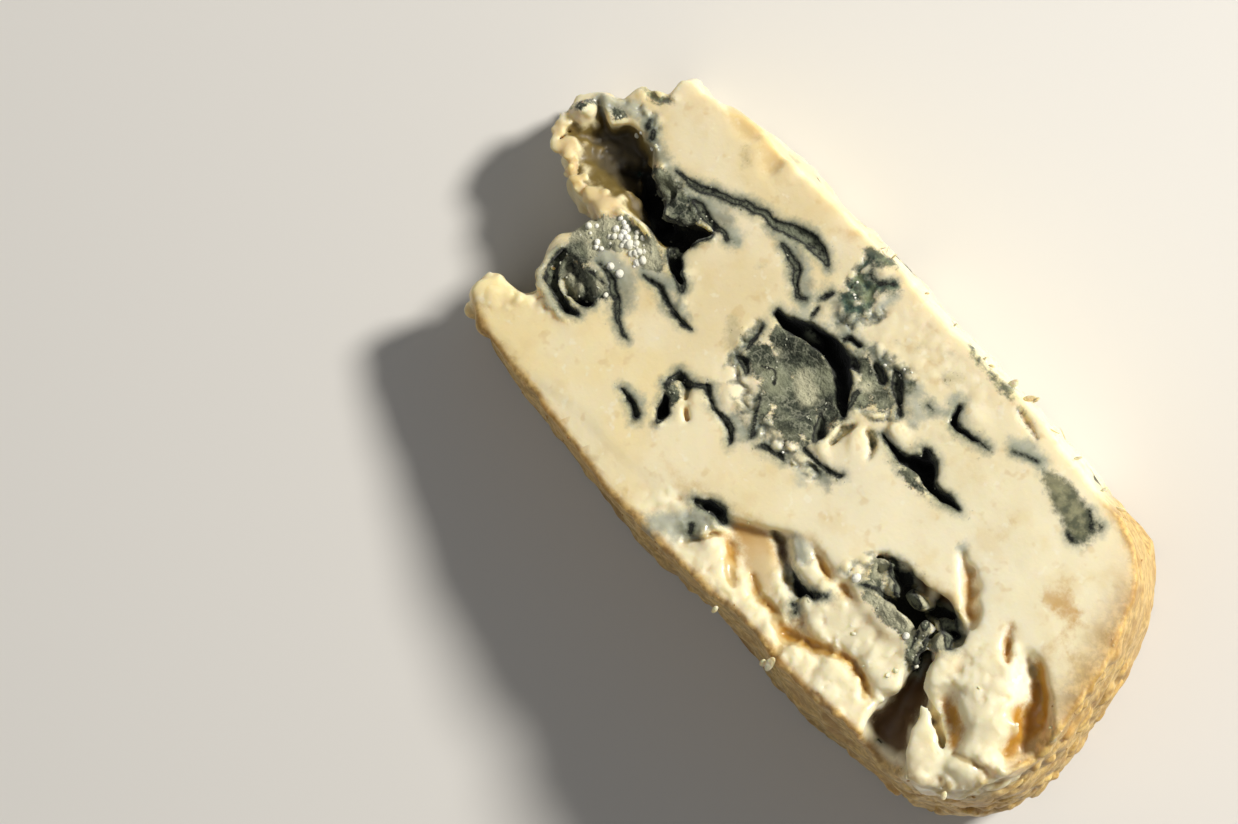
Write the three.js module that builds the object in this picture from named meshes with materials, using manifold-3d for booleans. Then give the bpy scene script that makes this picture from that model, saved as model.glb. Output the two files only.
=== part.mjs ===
// A wedge of blue cheese, lying on one cut face with the other cut face up.
//
// The wedge is about 107 mm long. +X runs from the broken nose to the rind of
// the wheel's rim, +Y points to the side that the wire cut, -Y to the flat rind
// of the wheel, and +Z points up. Units are millimetres. The origin is on the
// surface that the wedge lies on, under the middle of its box.

import * as THREE from 'three';
import { mergeVertices } from 'three/addons/utils/BufferGeometryUtils.js';
import { ImprovedNoise } from 'three/addons/math/ImprovedNoise.js';
import Module from 'manifold-3d';

// ---------------------------------------------------------------------------
// Driving dimensions
// ---------------------------------------------------------------------------

const NOSE_THICKNESS = 12.6;      // height of the cut face above the table at NOSE_X
const NOSE_X = -50.6;
const FACE_SLOPE = 0.307;         // rise of the cut face towards the rim, per millimetre
const RIM_X = 53.1;               // furthest point of the rim's rind
const RIM_LEAN = 5.0;             // how far the rim's top stands back from its foot
const RIM_LEAN_START = 18.0;      // where along X the lean begins
const RIM_HEIGHT = 44.4;
const WIRE_SIDE_FLARE = 0.0050;   // share by which each side widens, per millimetre of depth
const RIND_SIDE_FLARE = 0.0036;
const SIDE_WRINKLE = 0.35;        // depth of the wrinkles on the rind and the wire-cut side
const NOSE_CRAGS = 1.1;           // depth of the crags where the nose broke
const NOSE_CRAG_START = -36.0;    // where along X the break begins
const EDGE_ROUND = 1.3;           // radius where the cut face meets the sides
const TORN_DROP = 3.4;            // how far the torn strip lies below the smooth cut
const TORN_DROP_AT_RIM = 4.6;
const TORN_SLOPE_WIDTH = 1.8;     // width of the ledge between the two
const FACE_RIPPLE = 0.22;         // slow waves of the smooth cut
const TORN_ROUGHNESS = 0.9;       // crumb relief of the torn strip

const WALL_SPARE = 6.0;           // how far the side walls first reach above the face
const GRID_STEP = 1.5;            // mean facet size on the cut face
const GRID_CROWDING = 1.28;       // over 1, rows crowd towards the torn strip
const OUTLINE_POINTS = 108;
const SIDE_STEPS = 8;

// ---------------------------------------------------------------------------
// The outline, seen from above: two long sides, the rim and the broken nose
// ---------------------------------------------------------------------------

// The nose broke by hand: a lower prong, a curled flap, a notch and a thin lobe.
const NOSE_BREAK = [
  [-43.6, 20.4], [-45.0, 19.2], [-44.5, 16.6], [-48.0, 14.8], [-49.3, 12.7],
  [-51.6, 10.9], [-52.9, 7.8], [-52.7, 4.2], [-50.6, 2.0], [-46.6, 0.6],
  [-43.4, -0.7], [-39.7, -1.2], [-40.9, -4.6], [-40.4, -8.0], [-38.6, -10.6],
  [-37.9, -13.2], [-39.8, -15.4], [-42.9, -16.2], [-42.9, -20.2],
];
const RIND_SIDE = [[-35, -21.6], [-20, -22.6], [-5, -23.2], [10, -22.3], [24, -22.2], [33, -21.5]];
const RIM_FOOT_POINT = [RIM_X, -4];
const RIM_LOWER_CURVE = [[47.0, -21.5], [53.9, -14.5]];
const RIM_UPPER_CURVE = [[50.3, 8.5], [47.5, 19.3]];
const WIRE_SIDE = [[36, 20.3], [12, 21.4], [-12, 22.1], [-28, 22.3], [-38, 21.3]];

function vectors(points) {
  return points.map(([x, y]) => new THREE.Vector2(x, y));
}

function wedgeShape() {
  const [rindEnd] = RIND_SIDE.slice(-1);
  const [wireStart] = WIRE_SIDE;
  const lower = new THREE.CubicBezierCurve(...vectors([rindEnd, ...RIM_LOWER_CURVE, RIM_FOOT_POINT]));
  const upper = new THREE.CubicBezierCurve(...vectors([RIM_FOOT_POINT, ...RIM_UPPER_CURVE, wireStart]));
  const shape = new THREE.Shape();
  shape.curves.push(new THREE.SplineCurve(vectors([NOSE_BREAK[NOSE_BREAK.length - 1], ...RIND_SIDE])));
  shape.curves.push(lower, upper);
  shape.curves.push(new THREE.SplineCurve(vectors([...WIRE_SIDE, NOSE_BREAK[0]])));
  shape.curves.push(new THREE.SplineCurve(vectors(NOSE_BREAK)));
  return new THREE.Shape(shape.getSpacedPoints(OUTLINE_POINTS).slice(0, -1));
}

const OUTLINE = wedgeShape();
const OUTLINE_LOOP = OUTLINE.getPoints();

// ---------------------------------------------------------------------------
// Small tools
// ---------------------------------------------------------------------------

const noise = new ImprovedNoise();
const { smoothstep, lerp, degToRad } = THREE.MathUtils;

function waves(x, y, z, size) {
  const coarse = noise.noise(x / size, y / size, z / size);
  const fine = noise.noise(2.1 * x / size, 2.1 * y / size, 2.1 * z / size + 7);
  return coarse + 0.5 * fine;
}

function faceLevel(x) {
  return NOSE_THICKNESS + FACE_SLOPE * (x - NOSE_X);
}

// How far the rim has leaned back at this height.
function rimLean(x, z) {
  return RIM_LEAN * (z / RIM_HEIGHT) ** 2 * smoothstep(x, RIM_LEAN_START, RIM_X);
}

function distanceToOutline(x, y) {
  let best = Infinity;
  OUTLINE_LOOP.forEach((start, index) => {
    const end = OUTLINE_LOOP[(index + 1) % OUTLINE_LOOP.length];
    const along = { x: end.x - start.x, y: end.y - start.y };
    const square = along.x ** 2 + along.y ** 2;
    if (square > 0) {
      const share = ((x - start.x) * along.x + (y - start.y) * along.y) / square;
      const t = Math.min(Math.max(share, 0), 1);
      best = Math.min(best, Math.hypot(x - start.x - t * along.x, y - start.y - t * along.y));
    }
  });
  return best;
}

// ---------------------------------------------------------------------------
// Relief of the cut face
// ---------------------------------------------------------------------------

// The ledge where the smooth cut ends and the torn paste begins, from nose to rim.
const LEDGE = new THREE.SplineCurve(vectors([
  [-60, -21.5], [-30, -19.5], [-12, -18.2], [-4, -15.6], [2, -13.8], [6, -11.6], [10, -9.6],
  [18, -9.2], [22, -10.2], [29, -9.6], [33, -3.5], [36, 0.3], [40, 1.8], [45, -0.6], [50, -4.5],
  [56, -9],
]));
const LEDGE_LINE = LEDGE.getPoints(120);

function ledgeY(x) {
  const next = LEDGE_LINE.findIndex((point) => point.x >= x);
  const before = LEDGE_LINE[Math.max(next - 1, 0)];
  const after = LEDGE_LINE[Math.max(next, 1)];
  return lerp(before.y, after.y, (x - before.x) / (after.x - before.x));
}

// Lumps of curd that stand in the torn strip: centre, half length, half width,
// turn in degrees, and the height of the top above (or below) the cut face.
const CURDS = [
  { x: 4.0, y: -21.0, long: 4.0, wide: 3.3, turn: 0, top: -0.7 },
  { x: 10.6, y: -20.6, long: 3.4, wide: 3.1, turn: 10, top: -1.3 },
  { x: 15.4, y: -20.0, long: 3.0, wide: 3.2, turn: 0, top: -1.6 },
  { x: 24.0, y: -20.0, long: 5.2, wide: 3.8, turn: 0, top: -0.9 },
  { x: 29.6, y: -19.6, long: 3.2, wide: 3.6, turn: 0, top: -1.2 },
  { x: 21.8, y: -13.4, long: 5.0, wide: 2.9, turn: 5, top: -0.9 },
  { x: 27.6, y: -12.8, long: 4.4, wide: 3.4, turn: -8, top: -1.1 },
  { x: 13.2, y: -12.3, long: 1.9, wide: 2.0, turn: 0, top: -0.5 },
  { x: 16.6, y: -11.8, long: 1.8, wide: 2.0, turn: 0, top: -0.4 },
  { x: 37.2, y: -3.8, long: 4.8, wide: 6.0, turn: 12, top: 0.1 },
  { x: 40.6, y: -8.6, long: 4.0, wide: 3.2, turn: -20, top: -0.5 },
  { x: 38.8, y: -16.4, long: 3.3, wide: 2.4, turn: -15, top: -1.4 },
  { x: 44.6, y: -13.6, long: 2.0, wide: 3.4, turn: -18, top: -1.4 },
  { x: 48.2, y: -12.2, long: 2.8, wide: 5.0, turn: 10, top: -3.2 },
  { x: 33.6, y: -20.6, long: 2.0, wide: 2.2, turn: 0, top: -2.4 },
];

const CURD_DROP = 3.6;            // how far a curd falls off from its top to its foot
const CURD_ROUGHNESS = 0.4;

function curdTop({ x: cx, y: cy, long, wide, turn, top }, x, y) {
  const angle = degToRad(turn);
  const along = (x - cx) * Math.cos(angle) + (y - cy) * Math.sin(angle);
  const across = (y - cy) * Math.cos(angle) - (x - cx) * Math.sin(angle);
  const away = Math.hypot(along / long, across / wide);
  return faceLevel(x) + top - CURD_DROP * away ** 2.6;
}

function faceHeight(x, y) {
  const torn = 1 - smoothstep(y, ledgeY(x) - TORN_SLOPE_WIDTH, ledgeY(x));
  const fullDrop = lerp(0.6, TORN_DROP, smoothstep(x, -14, 2));
  const drop = lerp(fullDrop, TORN_DROP_AT_RIM, smoothstep(x, 28, 38));
  const roughness = lerp(FACE_RIPPLE, TORN_ROUGHNESS, torn * smoothstep(x, -14, 2));
  let height = faceLevel(x) - torn * drop + roughness * waves(x, y, 3, lerp(9, 3.4, torn));
  CURDS.forEach((curd) => {
    height = Math.max(height, curdTop(curd, x, y) + CURD_ROUGHNESS * waves(x, y, 11, 2.6));
  });
  const inset = distanceToOutline(x + rimLean(x, height), y);
  const short = Math.max(EDGE_ROUND - inset, 0);
  return height - (EDGE_ROUND - Math.sqrt(EDGE_ROUND ** 2 - short ** 2));
}

// ---------------------------------------------------------------------------
// Hollows: cracks, mould pockets and holes that go down into the paste
// ---------------------------------------------------------------------------

// Each runs along a short path on the cut face. Its widest width, its depth and
// how far its middle sinks below the face set the section.
const HOLLOWS = [
  {
    name: 'nose_bowl',
    path: [[-50.6, 6.4], [-45, 6.5], [-38, 6.6], [-29, 6.2]],
    width: 9.2, depth: 8.6, sink: 1.2,
  },
  {
    name: 'nose_throat',
    path: [[-37, 4.8], [-31, 5.0], [-25.6, 6.6]],
    width: 6.0, depth: 9.6, sink: 3.2,
  },
  {
    name: 'curled_flap',
    path: [[-39.4, -6.6], [-37, -9.2], [-33, -10.2], [-29.4, -9.4]],
    width: 3.0, depth: 4.2, sink: 0.4,
  },
  {
    name: 'arc_vein',
    path: [[-37, 10.4], [-28, 13.2], [-20, 16.4], [-12, 16.2]],
    width: 1.5, depth: 2.6, sink: 0.2,
  },
  {
    name: 'velvet_bed',
    path: [[-12.5, 3.4], [-4, 3.4], [4, 2.4]],
    width: 9.6, depth: 1.5, sink: 0.0,
  },
  {
    name: 'velvet_crack',
    path: [[-13, 7.2], [-7, 9.6], [-1, 9.4], [3.6, 5.0]],
    width: 2.6, depth: 5.6, sink: 0.6,
  },
  {
    name: 'arrow_hole',
    path: [[7.6, 6.2], [13.4, 7.5], [21.4, 6.9]],
    width: 3.2, depth: 6.4, sink: 0.8,
  },
  {
    name: 'crescent',
    path: [[9.6, 16.2], [12.6, 14.0], [17.6, 14.8]],
    width: 1.8, depth: 3.4, sink: 0.4,
  },
  {
    name: 'big_pocket',
    path: [[17.6, -5.4], [25, -5.2], [33.4, -6.0]],
    width: 8.4, depth: 7.6, sink: 1.0,
  },
  {
    name: 'dark_gap',
    path: [[31.6, -9.0], [33.4, -13.6], [35.4, -18.6]],
    width: 4.0, depth: 9.0, sink: 3.0,
  },
  {
    name: 'eye_hole',
    path: [[-15.6, -7.2], [-15.0, -9.6], [-13.8, -12.6]],
    width: 3.2, depth: 4.2, sink: 0.4,
  },
  {
    name: 'rim_pocket',
    path: [[39.8, 1.6], [44.8, -1.6], [49.4, -6.6]],
    width: 4.4, depth: 5.2, sink: 1.6,
  },
  {
    name: 'rind_slot',
    path: [[-2.2, -14.4], [-1.8, -18.0], [-2.8, -21.6]],
    width: 4.4, depth: 1.7, sink: 0.2,
  },
  {
    name: 'curd_crack',
    path: [[6.6, -11.8], [10, -12.8], [13, -14.6], [17.8, -13.4], [19.4, -9.6]],
    width: 1.8, depth: 3.0, sink: 1.4,
  },
];
const HOLLOW_SIDES = 14;
const HOLLOW_RINGS = 9;
const HOLLOW_ROUGHNESS = 0.3;

// Clumps of mould and curd that stand inside the hollows, joined to their walls:
// middle, half sizes along X, Y and Z, and how far the middle sinks below the face.
const CLUMPS = [
  { x: -34.2, y: 8.6, half: [3.4, 2.6, 2.6], sink: 2.2 },
  { x: -31.6, y: 0.2, half: [3.8, 1.7, 2.4], sink: 1.2 },
  { x: -34.4, y: -7.4, half: [3.0, 1.9, 2.6], sink: 1.8 },
  { x: 22.4, y: -5.6, half: [1.9, 1.3, 3.4], sink: 4.6 },
  { x: 24.4, y: -8.8, half: [4.2, 1.5, 3.4], sink: 3.2 },
  { x: 29.8, y: -7.0, half: [1.8, 1.9, 3.6], sink: 3.8 },
];

// A sphere whose axis is drawn out along the path, so its ends close round.
function hollowGeometry({ path, width, depth, sink }) {
  const line = new THREE.SplineCurve(vectors(path));
  const geometry = new THREE.SphereGeometry(1, HOLLOW_SIDES, HOLLOW_RINGS);
  geometry.rotateZ(-Math.PI / 2);
  const corners = geometry.getAttribute('position');
  for (let i = 0; i < corners.count; i += 1) {
    const share = THREE.MathUtils.clamp((corners.getX(i) + 1) / 2, 0, 1);
    const middle = line.getPointAt(share);
    const along = line.getTangentAt(share);
    const lengthwise = 2 * corners.getX(i) + path[0][0];
    const rough = 1 + HOLLOW_ROUGHNESS * waves(lengthwise, corners.getY(i), corners.getZ(i), 0.8);
    const across = corners.getY(i) * rough * width / 2;
    const down = corners.getZ(i) * rough * depth;
    const x = middle.x - along.y * across;
    corners.setXYZ(i, x, middle.y + along.x * across, faceLevel(x) - sink + down);
  }
  return geometry;
}

function clumpGeometry({ x, y, half, sink }) {
  const geometry = new THREE.SphereGeometry(1, HOLLOW_SIDES, HOLLOW_RINGS);
  const corners = geometry.getAttribute('position');
  for (let i = 0; i < corners.count; i += 1) {
    const spot = new THREE.Vector3().fromBufferAttribute(corners, i);
    const rough = 1 + HOLLOW_ROUGHNESS * waves(spot.x + x, spot.y + y, spot.z, 0.8);
    spot.multiply(new THREE.Vector3(...half)).multiplyScalar(rough);
    corners.setXYZ(i, spot.x + x, spot.y + y, spot.z + faceLevel(x) - sink);
  }
  return geometry;
}

// ---------------------------------------------------------------------------
// The two blanks that the wedge is cut from
// ---------------------------------------------------------------------------

// A slab whose top is the relief of the cut face.
function faceSlab() {
  const box = new THREE.Box2().setFromPoints(OUTLINE_LOOP).expandByScalar(6);
  const size = box.getSize(new THREE.Vector2());
  const centre = box.getCenter(new THREE.Vector2());
  const across = Math.round(size.x / GRID_STEP);
  const back = Math.round(size.y / GRID_STEP);
  const slab = new THREE.BoxGeometry(size.x, size.y, 1, across, back, 1);
  slab.translate(centre.x, size.y / 2, 0);
  const corners = slab.getAttribute('position');
  for (let i = 0; i < corners.count; i += 1) {
    const x = corners.getX(i);
    const rowShare = Math.max(corners.getY(i) / size.y, 0);
    const y = box.min.y + size.y * rowShare ** GRID_CROWDING;
    const isTop = corners.getZ(i) > 0;
    corners.setXYZ(i, x, y, isTop ? faceHeight(x, y) : -RIM_HEIGHT);
  }
  return slab;
}

// The outline drawn up from the table to just above the face, flared, leaned
// back at the rim, wrinkled along the sides and craggy at the nose.
function sideWalls() {
  const walls = new THREE.ExtrudeGeometry(OUTLINE, { depth: 1, steps: SIDE_STEPS, bevelEnabled: false });
  const corners = walls.getAttribute('position');
  for (let i = 0; i < corners.count; i += 1) {
    const x = corners.getX(i);
    const y = corners.getY(i);
    const z = corners.getZ(i) * (faceLevel(x) + WALL_SPARE);
    const below = Math.max(faceLevel(x) - z, 0);
    const broken = 1 - smoothstep(x, NOSE_CRAG_START - 4, NOSE_CRAG_START);
    const wrinkle = lerp(SIDE_WRINKLE, NOSE_CRAGS, broken) * waves(x, y, z, lerp(6, 4, broken));
    const wide = 1 + below * (y > 0 ? WIRE_SIDE_FLARE : RIND_SIDE_FLARE);
    corners.setXYZ(i, x - rimLean(x, z) + wrinkle * Math.sign(x), y * wide + wrinkle * Math.sign(y), z);
  }
  return walls;
}

// ---------------------------------------------------------------------------
// Cutting and joining
// ---------------------------------------------------------------------------

const wasm = await Module();
wasm.setup();

function toSolid(geometry) {
  geometry.deleteAttribute('normal');
  geometry.deleteAttribute('uv');
  const merged = mergeVertices(geometry, 1e-4);
  const vertProperties = new Float32Array(merged.getAttribute('position').array);
  const triVerts = new Uint32Array(merged.index.array);
  return new wasm.Manifold(new wasm.Mesh({ numProp: 3, vertProperties, triVerts }));
}

function toGeometry(solid) {
  const mesh = solid.getMesh();
  const geometry = new THREE.BufferGeometry();
  geometry.setAttribute('position', new THREE.BufferAttribute(mesh.vertProperties, 3));
  geometry.setIndex(new THREE.BufferAttribute(mesh.triVerts, 1));
  geometry.computeVertexNormals();
  return geometry;
}

function cheeseWedge() {
  let cheese = toSolid(sideWalls()).intersect(toSolid(faceSlab()));
  HOLLOWS.forEach((hollow) => {
    cheese = cheese.subtract(toSolid(hollowGeometry(hollow)));
  });
  CLUMPS.forEach((clump) => {
    cheese = cheese.add(toSolid(clumpGeometry(clump)));
  });
  return toGeometry(cheese);
}

const paste = new THREE.MeshStandardMaterial({ color: 0xe8dbb4, roughness: 0.45, metalness: 0 });
const wedge = new THREE.Mesh(cheeseWedge(), paste);
wedge.name = 'cheese_wedge';

const part = new THREE.Group();
part.add(wedge);

export default part;
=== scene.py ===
# %% [markdown]
# # A wedge of blue cheese
# This lesson dresses a plain solid wedge as real blue cheese: cream paste that
# light sinks into, cracks lined with dark mould, velvety grey patches, torn
# curd along one edge, and a thin tan rind. The wedge lies on one cut face and
# the other cut face looks up. We work in three passes: carve the shape, paint
# it by what lies where, then scatter the small things that sit on it.

# %% The frame
import math

import bmesh
import bpy
import numpy as np
from mathutils import Euler, Matrix, Vector


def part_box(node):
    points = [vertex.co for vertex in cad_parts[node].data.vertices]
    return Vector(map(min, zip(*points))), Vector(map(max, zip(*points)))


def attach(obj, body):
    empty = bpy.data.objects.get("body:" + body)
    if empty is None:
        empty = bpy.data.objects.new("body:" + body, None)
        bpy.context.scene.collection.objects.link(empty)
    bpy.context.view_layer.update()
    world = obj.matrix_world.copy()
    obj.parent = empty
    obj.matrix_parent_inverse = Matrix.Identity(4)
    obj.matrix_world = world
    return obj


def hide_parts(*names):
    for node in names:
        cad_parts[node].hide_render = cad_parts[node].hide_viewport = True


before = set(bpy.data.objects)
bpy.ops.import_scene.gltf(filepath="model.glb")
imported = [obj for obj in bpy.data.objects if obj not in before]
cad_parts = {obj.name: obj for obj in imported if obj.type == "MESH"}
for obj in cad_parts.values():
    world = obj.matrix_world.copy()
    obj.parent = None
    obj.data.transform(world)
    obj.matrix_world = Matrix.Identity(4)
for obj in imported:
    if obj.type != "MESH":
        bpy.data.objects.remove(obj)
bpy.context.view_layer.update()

NODE = "cheese_wedge"
NODE_LOW, NODE_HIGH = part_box(NODE)
print("solid box, mm:", [round(1000 * v, 1) for v in (*NODE_LOW, *NODE_HIGH)])

# %% [markdown]
# ## Sizes
# A cheese wedge is simple to describe: two flat cuts that meet near the nose,
# two long sides, and the curved rim of the wheel. We sculpt in millimetres and
# shrink to metres at the very end, because most of the detail here is half a
# millimetre to five millimetres wide and the numbers stay easy to read.

# %% The wedge's main sizes, in millimetres
MM = 0.001
NOSE_X, NOSE_THICKNESS = -50.6, 12.6
FACE_SLOPE = 0.307
FACE_TILT = math.cos(math.atan(FACE_SLOPE))
RIM_X = 1000 * NODE_HIGH.x
RIM_HEIGHT = 44.4
RIM_LEAN, RIM_LEAN_START = 5.0, 18.0
WIRE_SIDE_FLARE, RIND_SIDE_FLARE = 0.0050, 0.0036
STEP = 0.36          # spacing of the carving grid
LOW_CORNER = (-56.0, -28.4, -0.8)
HIGH_CORNER = (55.4, 27.6, 45.6)


def smooth_step(low, high, x):
    t = np.clip((x - low) / (high - low), 0, 1)
    return t * t * (3 - 2 * t)


def face_level(x):
    return NOSE_THICKNESS + FACE_SLOPE * (x - NOSE_X)


def rim_lean(x, z):
    return RIM_LEAN * (z / RIM_HEIGHT) ** 2 * smooth_step(RIM_LEAN_START, RIM_X, x)


print("height of the face at the rim:", round(face_level(47.0), 1), "mm")

# %% [markdown]
# ## A block to carve
# Cheese has overhangs: cracks that widen below the surface, curds that bulge
# over a gap. A flat mesh pushed up and down can't make those. So we carve a
# block of numbers instead: each grid point holds its distance to the surface,
# less than zero inside. Joining is a minimum, cutting is a maximum, and a
# smooth minimum gives soft creases, like paste that has been pressed together.

# %% The carving grid
AXES = [np.arange(low, high, STEP, dtype=np.float32) for low, high in zip(LOW_CORNER, HIGH_CORNER)]
SHAPE = tuple(len(axis) for axis in AXES)
GX, GY, GZ = np.meshgrid(*AXES, indexing="ij", sparse=True)


def smooth_max(a, b, k):
    h = np.clip(0.5 + 0.5 * (a - b) / k, 0, 1)
    return b + (a - b) * h + k * h * (1 - h)


def smooth_min(a, b, k):
    return -smooth_max(-a, -b, k)


print("grid points:", math.prod(SHAPE))

# %% [markdown]
# ## Unevenness
# Nothing in food is straight. We make smooth random bumps by placing random
# numbers on a coarse lattice and blending between them with a cubic spline.
# On a regular grid that blend is three small matrix products, so even a fine
# lattice costs almost nothing.

# %% Smooth random bumps on the grid
SPLINE_SPREAD = 0.33            # spread that the spline leaves of unit random numbers


def spline_table(places, size):
    at = (places - places[0]) / size + 1
    first = np.floor(at).astype(int)
    f = at - first
    weights = ((1 - f) ** 3, 4 - 6 * f ** 2 + 3 * f ** 3, 1 + 3 * f + 3 * f ** 2 - 3 * f ** 3, f ** 3)
    table = np.zeros((len(places), first[-1] + 3), np.float32)
    for k, weight in enumerate(weights):
        table[np.arange(len(places)), first - 1 + k] = weight / 6
    return table


def bumps(size, seed):
    """Random bumps about size mm wide, with a spread of 1, over the whole grid."""
    tables = [spline_table(axis, size) for axis in AXES]
    spans = [int((high - low) / size) + 5 for low, high in zip(LOW_CORNER, HIGH_CORNER)]
    lattice = np.random.default_rng(seed).standard_normal(spans).astype(np.float32)
    for table in tables:
        lattice = np.tensordot(lattice[:table.shape[1]], table, axes=(0, 1))
    return lattice / SPLINE_SPREAD


WARP_X = 0.24 * bumps(2.8, 1) + 0.13 * bumps(1.1, 2)
WARP_Y = 0.24 * bumps(2.8, 3) + 0.13 * bumps(1.1, 4)
FINE = bumps(1.3, 5)
MIDDLE = bumps(3.2, 6)
BROAD = bumps(9.0, 7)
print("spread of the bumps:", round(float(FINE.std()), 2), round(float(BROAD.std()), 2))

# %% [markdown]
# ## The outline
# Seen from above the wedge has a smooth rim, two nearly straight sides, and a
# nose that was broken by hand. The nose needs real points, because its prong,
# curled flap, notch and thin lobe are what make this piece recognisable. The
# rim is two Bezier curves.

# %% The outline as one closed line
NOSE_BREAK = [
    (-43.6, 20.4), (-45, 19.2), (-44.5, 16.6), (-48, 14.8), (-49.3, 12.7), (-51.6, 10.9), (-52.9, 7.8),
    (-52.7, 4.2), (-50.6, 2), (-46.6, 0.6), (-43.4, -0.7), (-39.7, -1.2), (-40.9, -4.6), (-40.4, -8),
    (-38.6, -10.6), (-37.9, -13.2), (-39.8, -15.4), (-42.9, -16.2), (-42.9, -20.2),
]
RIND_SIDE = [(-35, -21.6), (-20, -22.6), (-5, -23.2), (10, -22.3), (24, -22.2), (33, -21.5)]
RIM_FOOT_POINT = (RIM_X, -4)
RIM_LOWER_CURVE = [(47.0, -21.5), (53.9, -14.5)]
RIM_UPPER_CURVE = [(50.3, 8.5), (47.5, 19.3)]
WIRE_SIDE = [(36, 20.3), (12, 21.4), (-12, 22.1), (-28, 22.3), (-38, 21.3)]


def spline_line(points, pieces=8):
    """A Catmull-Rom curve through the points, without the last one."""
    p = np.array([points[0], *points, points[-1]], float)
    t = (np.arange(pieces) / pieces)[:, None]
    runs = []
    for a, b, c, d in zip(p[:-3], p[1:-2], p[2:-1], p[3:]):
        runs.append(b + 0.5 * t * (c - a + t * (2 * a - 5 * b + 4 * c - d + t * (3 * (b - c) + d - a))))
    return np.concatenate(runs)


def bezier_line(a, b, c, d, pieces=16):
    a, b, c, d = (np.array(p, float) for p in (a, b, c, d))
    t = (np.arange(pieces) / pieces)[:, None]
    return (1 - t) ** 3 * a + 3 * t * (1 - t) ** 2 * b + 3 * t ** 2 * (1 - t) * c + t ** 3 * d


OUTLINE = np.concatenate([
    spline_line([NOSE_BREAK[-1], *RIND_SIDE]),
    bezier_line(RIND_SIDE[-1], *RIM_LOWER_CURVE, RIM_FOOT_POINT),
    bezier_line(RIM_FOOT_POINT, *RIM_UPPER_CURVE, WIRE_SIDE[0]),
    spline_line([*WIRE_SIDE, NOSE_BREAK[0]]),
    spline_line(NOSE_BREAK),
])


def line_distance(line, x, y):
    """Distance from each place to a line of points."""
    best = np.full(np.broadcast(x, y).shape, 1e9)
    for (ax, ay), (bx, by) in zip(line[:-1], line[1:]):
        ux, uy = bx - ax, by - ay
        t = np.clip(((x - ax) * ux + (y - ay) * uy) / (ux * ux + uy * uy + 1e-12), 0, 1)
        best = np.minimum(best, (x - ax - t * ux) ** 2 + (y - ay - t * uy) ** 2)
    return np.sqrt(best)


def ring_distance(ring, x, y):
    """Distance to a closed line, less than zero inside it."""
    ring = np.array(ring, float)
    closed = np.concatenate([ring, ring[:1]])
    inside = np.zeros(np.broadcast(x, y).shape, bool)
    for (ax, ay), (bx, by) in zip(closed[:-1], closed[1:]):
        inside ^= ((ay > y) != (by > y)) & (x < ax + (bx - ax) * (y - ay) / ((by - ay) or 1e-12))
    return np.where(inside, -1, 1) * line_distance(closed, x, y)


MAP_STEP = 0.25
MAP_X = np.arange(-62, 64, MAP_STEP)
MAP_Y = np.arange(-31, 31, MAP_STEP)
OUTLINE_MAP = ring_distance(OUTLINE, MAP_X[:, None], MAP_Y[None, :]).astype(np.float32)
print("points on the outline:", len(OUTLINE))


def read_map(table, x, y):
    """Looks up a table on MAP_X by MAP_Y, blending between its numbers."""
    u = np.clip((x - MAP_X[0]) / MAP_STEP, 0, len(MAP_X) - 1.01)
    v = np.clip((y - MAP_Y[0]) / MAP_STEP, 0, len(MAP_Y) - 1.01)
    i, j = u.astype(np.int32), v.astype(np.int32)
    u, v = u - i, v - j
    near = table[i, j] * (1 - v) + table[i, j + 1] * v
    far = table[i + 1, j] * (1 - v) + table[i + 1, j + 1] * v
    return near * (1 - u) + far * u


# %% [markdown]
# ## Two skins and a floor
# The wedge is what lies inside three surfaces: the side wall, which flares
# towards the table and leans back at the rim; the cut face, a sloping plane
# with a torn strip along the rind side; and the flat cut it lies on. Taking
# the greatest of the three distances keeps only what is inside them all.

# %% The side wall
depth_below = np.maximum(face_level(GX) - GZ, 0)
flare = np.where(GY > 0, WIRE_SIDE_FLARE, RIND_SIDE_FLARE)
wall = read_map(OUTLINE_MAP, GX + rim_lean(GX, GZ) + 0 * GY, GY / (1 + depth_below * flare))
nose_break = 1 - smooth_step(-40, -35, GX)
wall_rough = 0.10 * FINE + 0.16 * MIDDLE + 0.22 * BROAD
crags = 0.34 * FINE + 0.50 * MIDDLE
WALL = (wall + wall_rough * (1 - nose_break) + crags * nose_break).astype(np.float32)
del wall, wall_rough, crags, depth_below, flare

# %% The cut face, with its ledge and torn strip
LEDGE = [
    (-60, -21.5), (-30, -19.5), (-12, -18.2), (-4, -15.6), (2, -13.8), (6, -11.6), (10, -9.6), (18, -9.2),
    (22, -10.2), (29, -9.6), (33, -3.5), (36, 0.3), (40, 1.8), (45, -0.6), (50, -4.5), (62, -12),
]
SOFT_DROP = 0.2
LEDGE_WIDTH = 1.8

ledge_line = spline_line(LEDGE)
ledge_y = np.interp(AXES[0], ledge_line[:, 0], ledge_line[:, 1])[:, None]
at_face = np.clip(((face_level(AXES[0]) - AXES[2][0]) / STEP).astype(int), 0, SHAPE[2] - 1)
rows = np.arange(SHAPE[0])
face_x = AXES[0][:, None] + WARP_X[rows, :, at_face]
face_y = AXES[1][None, :] + WARP_Y[rows, :, at_face]
TORN = 1 - smooth_step(ledge_y - LEDGE_WIDTH, ledge_y, face_y)
TORN_STRONG = TORN * smooth_step(-9, -6, face_x)
edge_in = -read_map(OUTLINE_MAP, face_x, face_y)
print("share of the face that is torn:", round(float((TORN > 0.5).mean()), 2))

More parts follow.
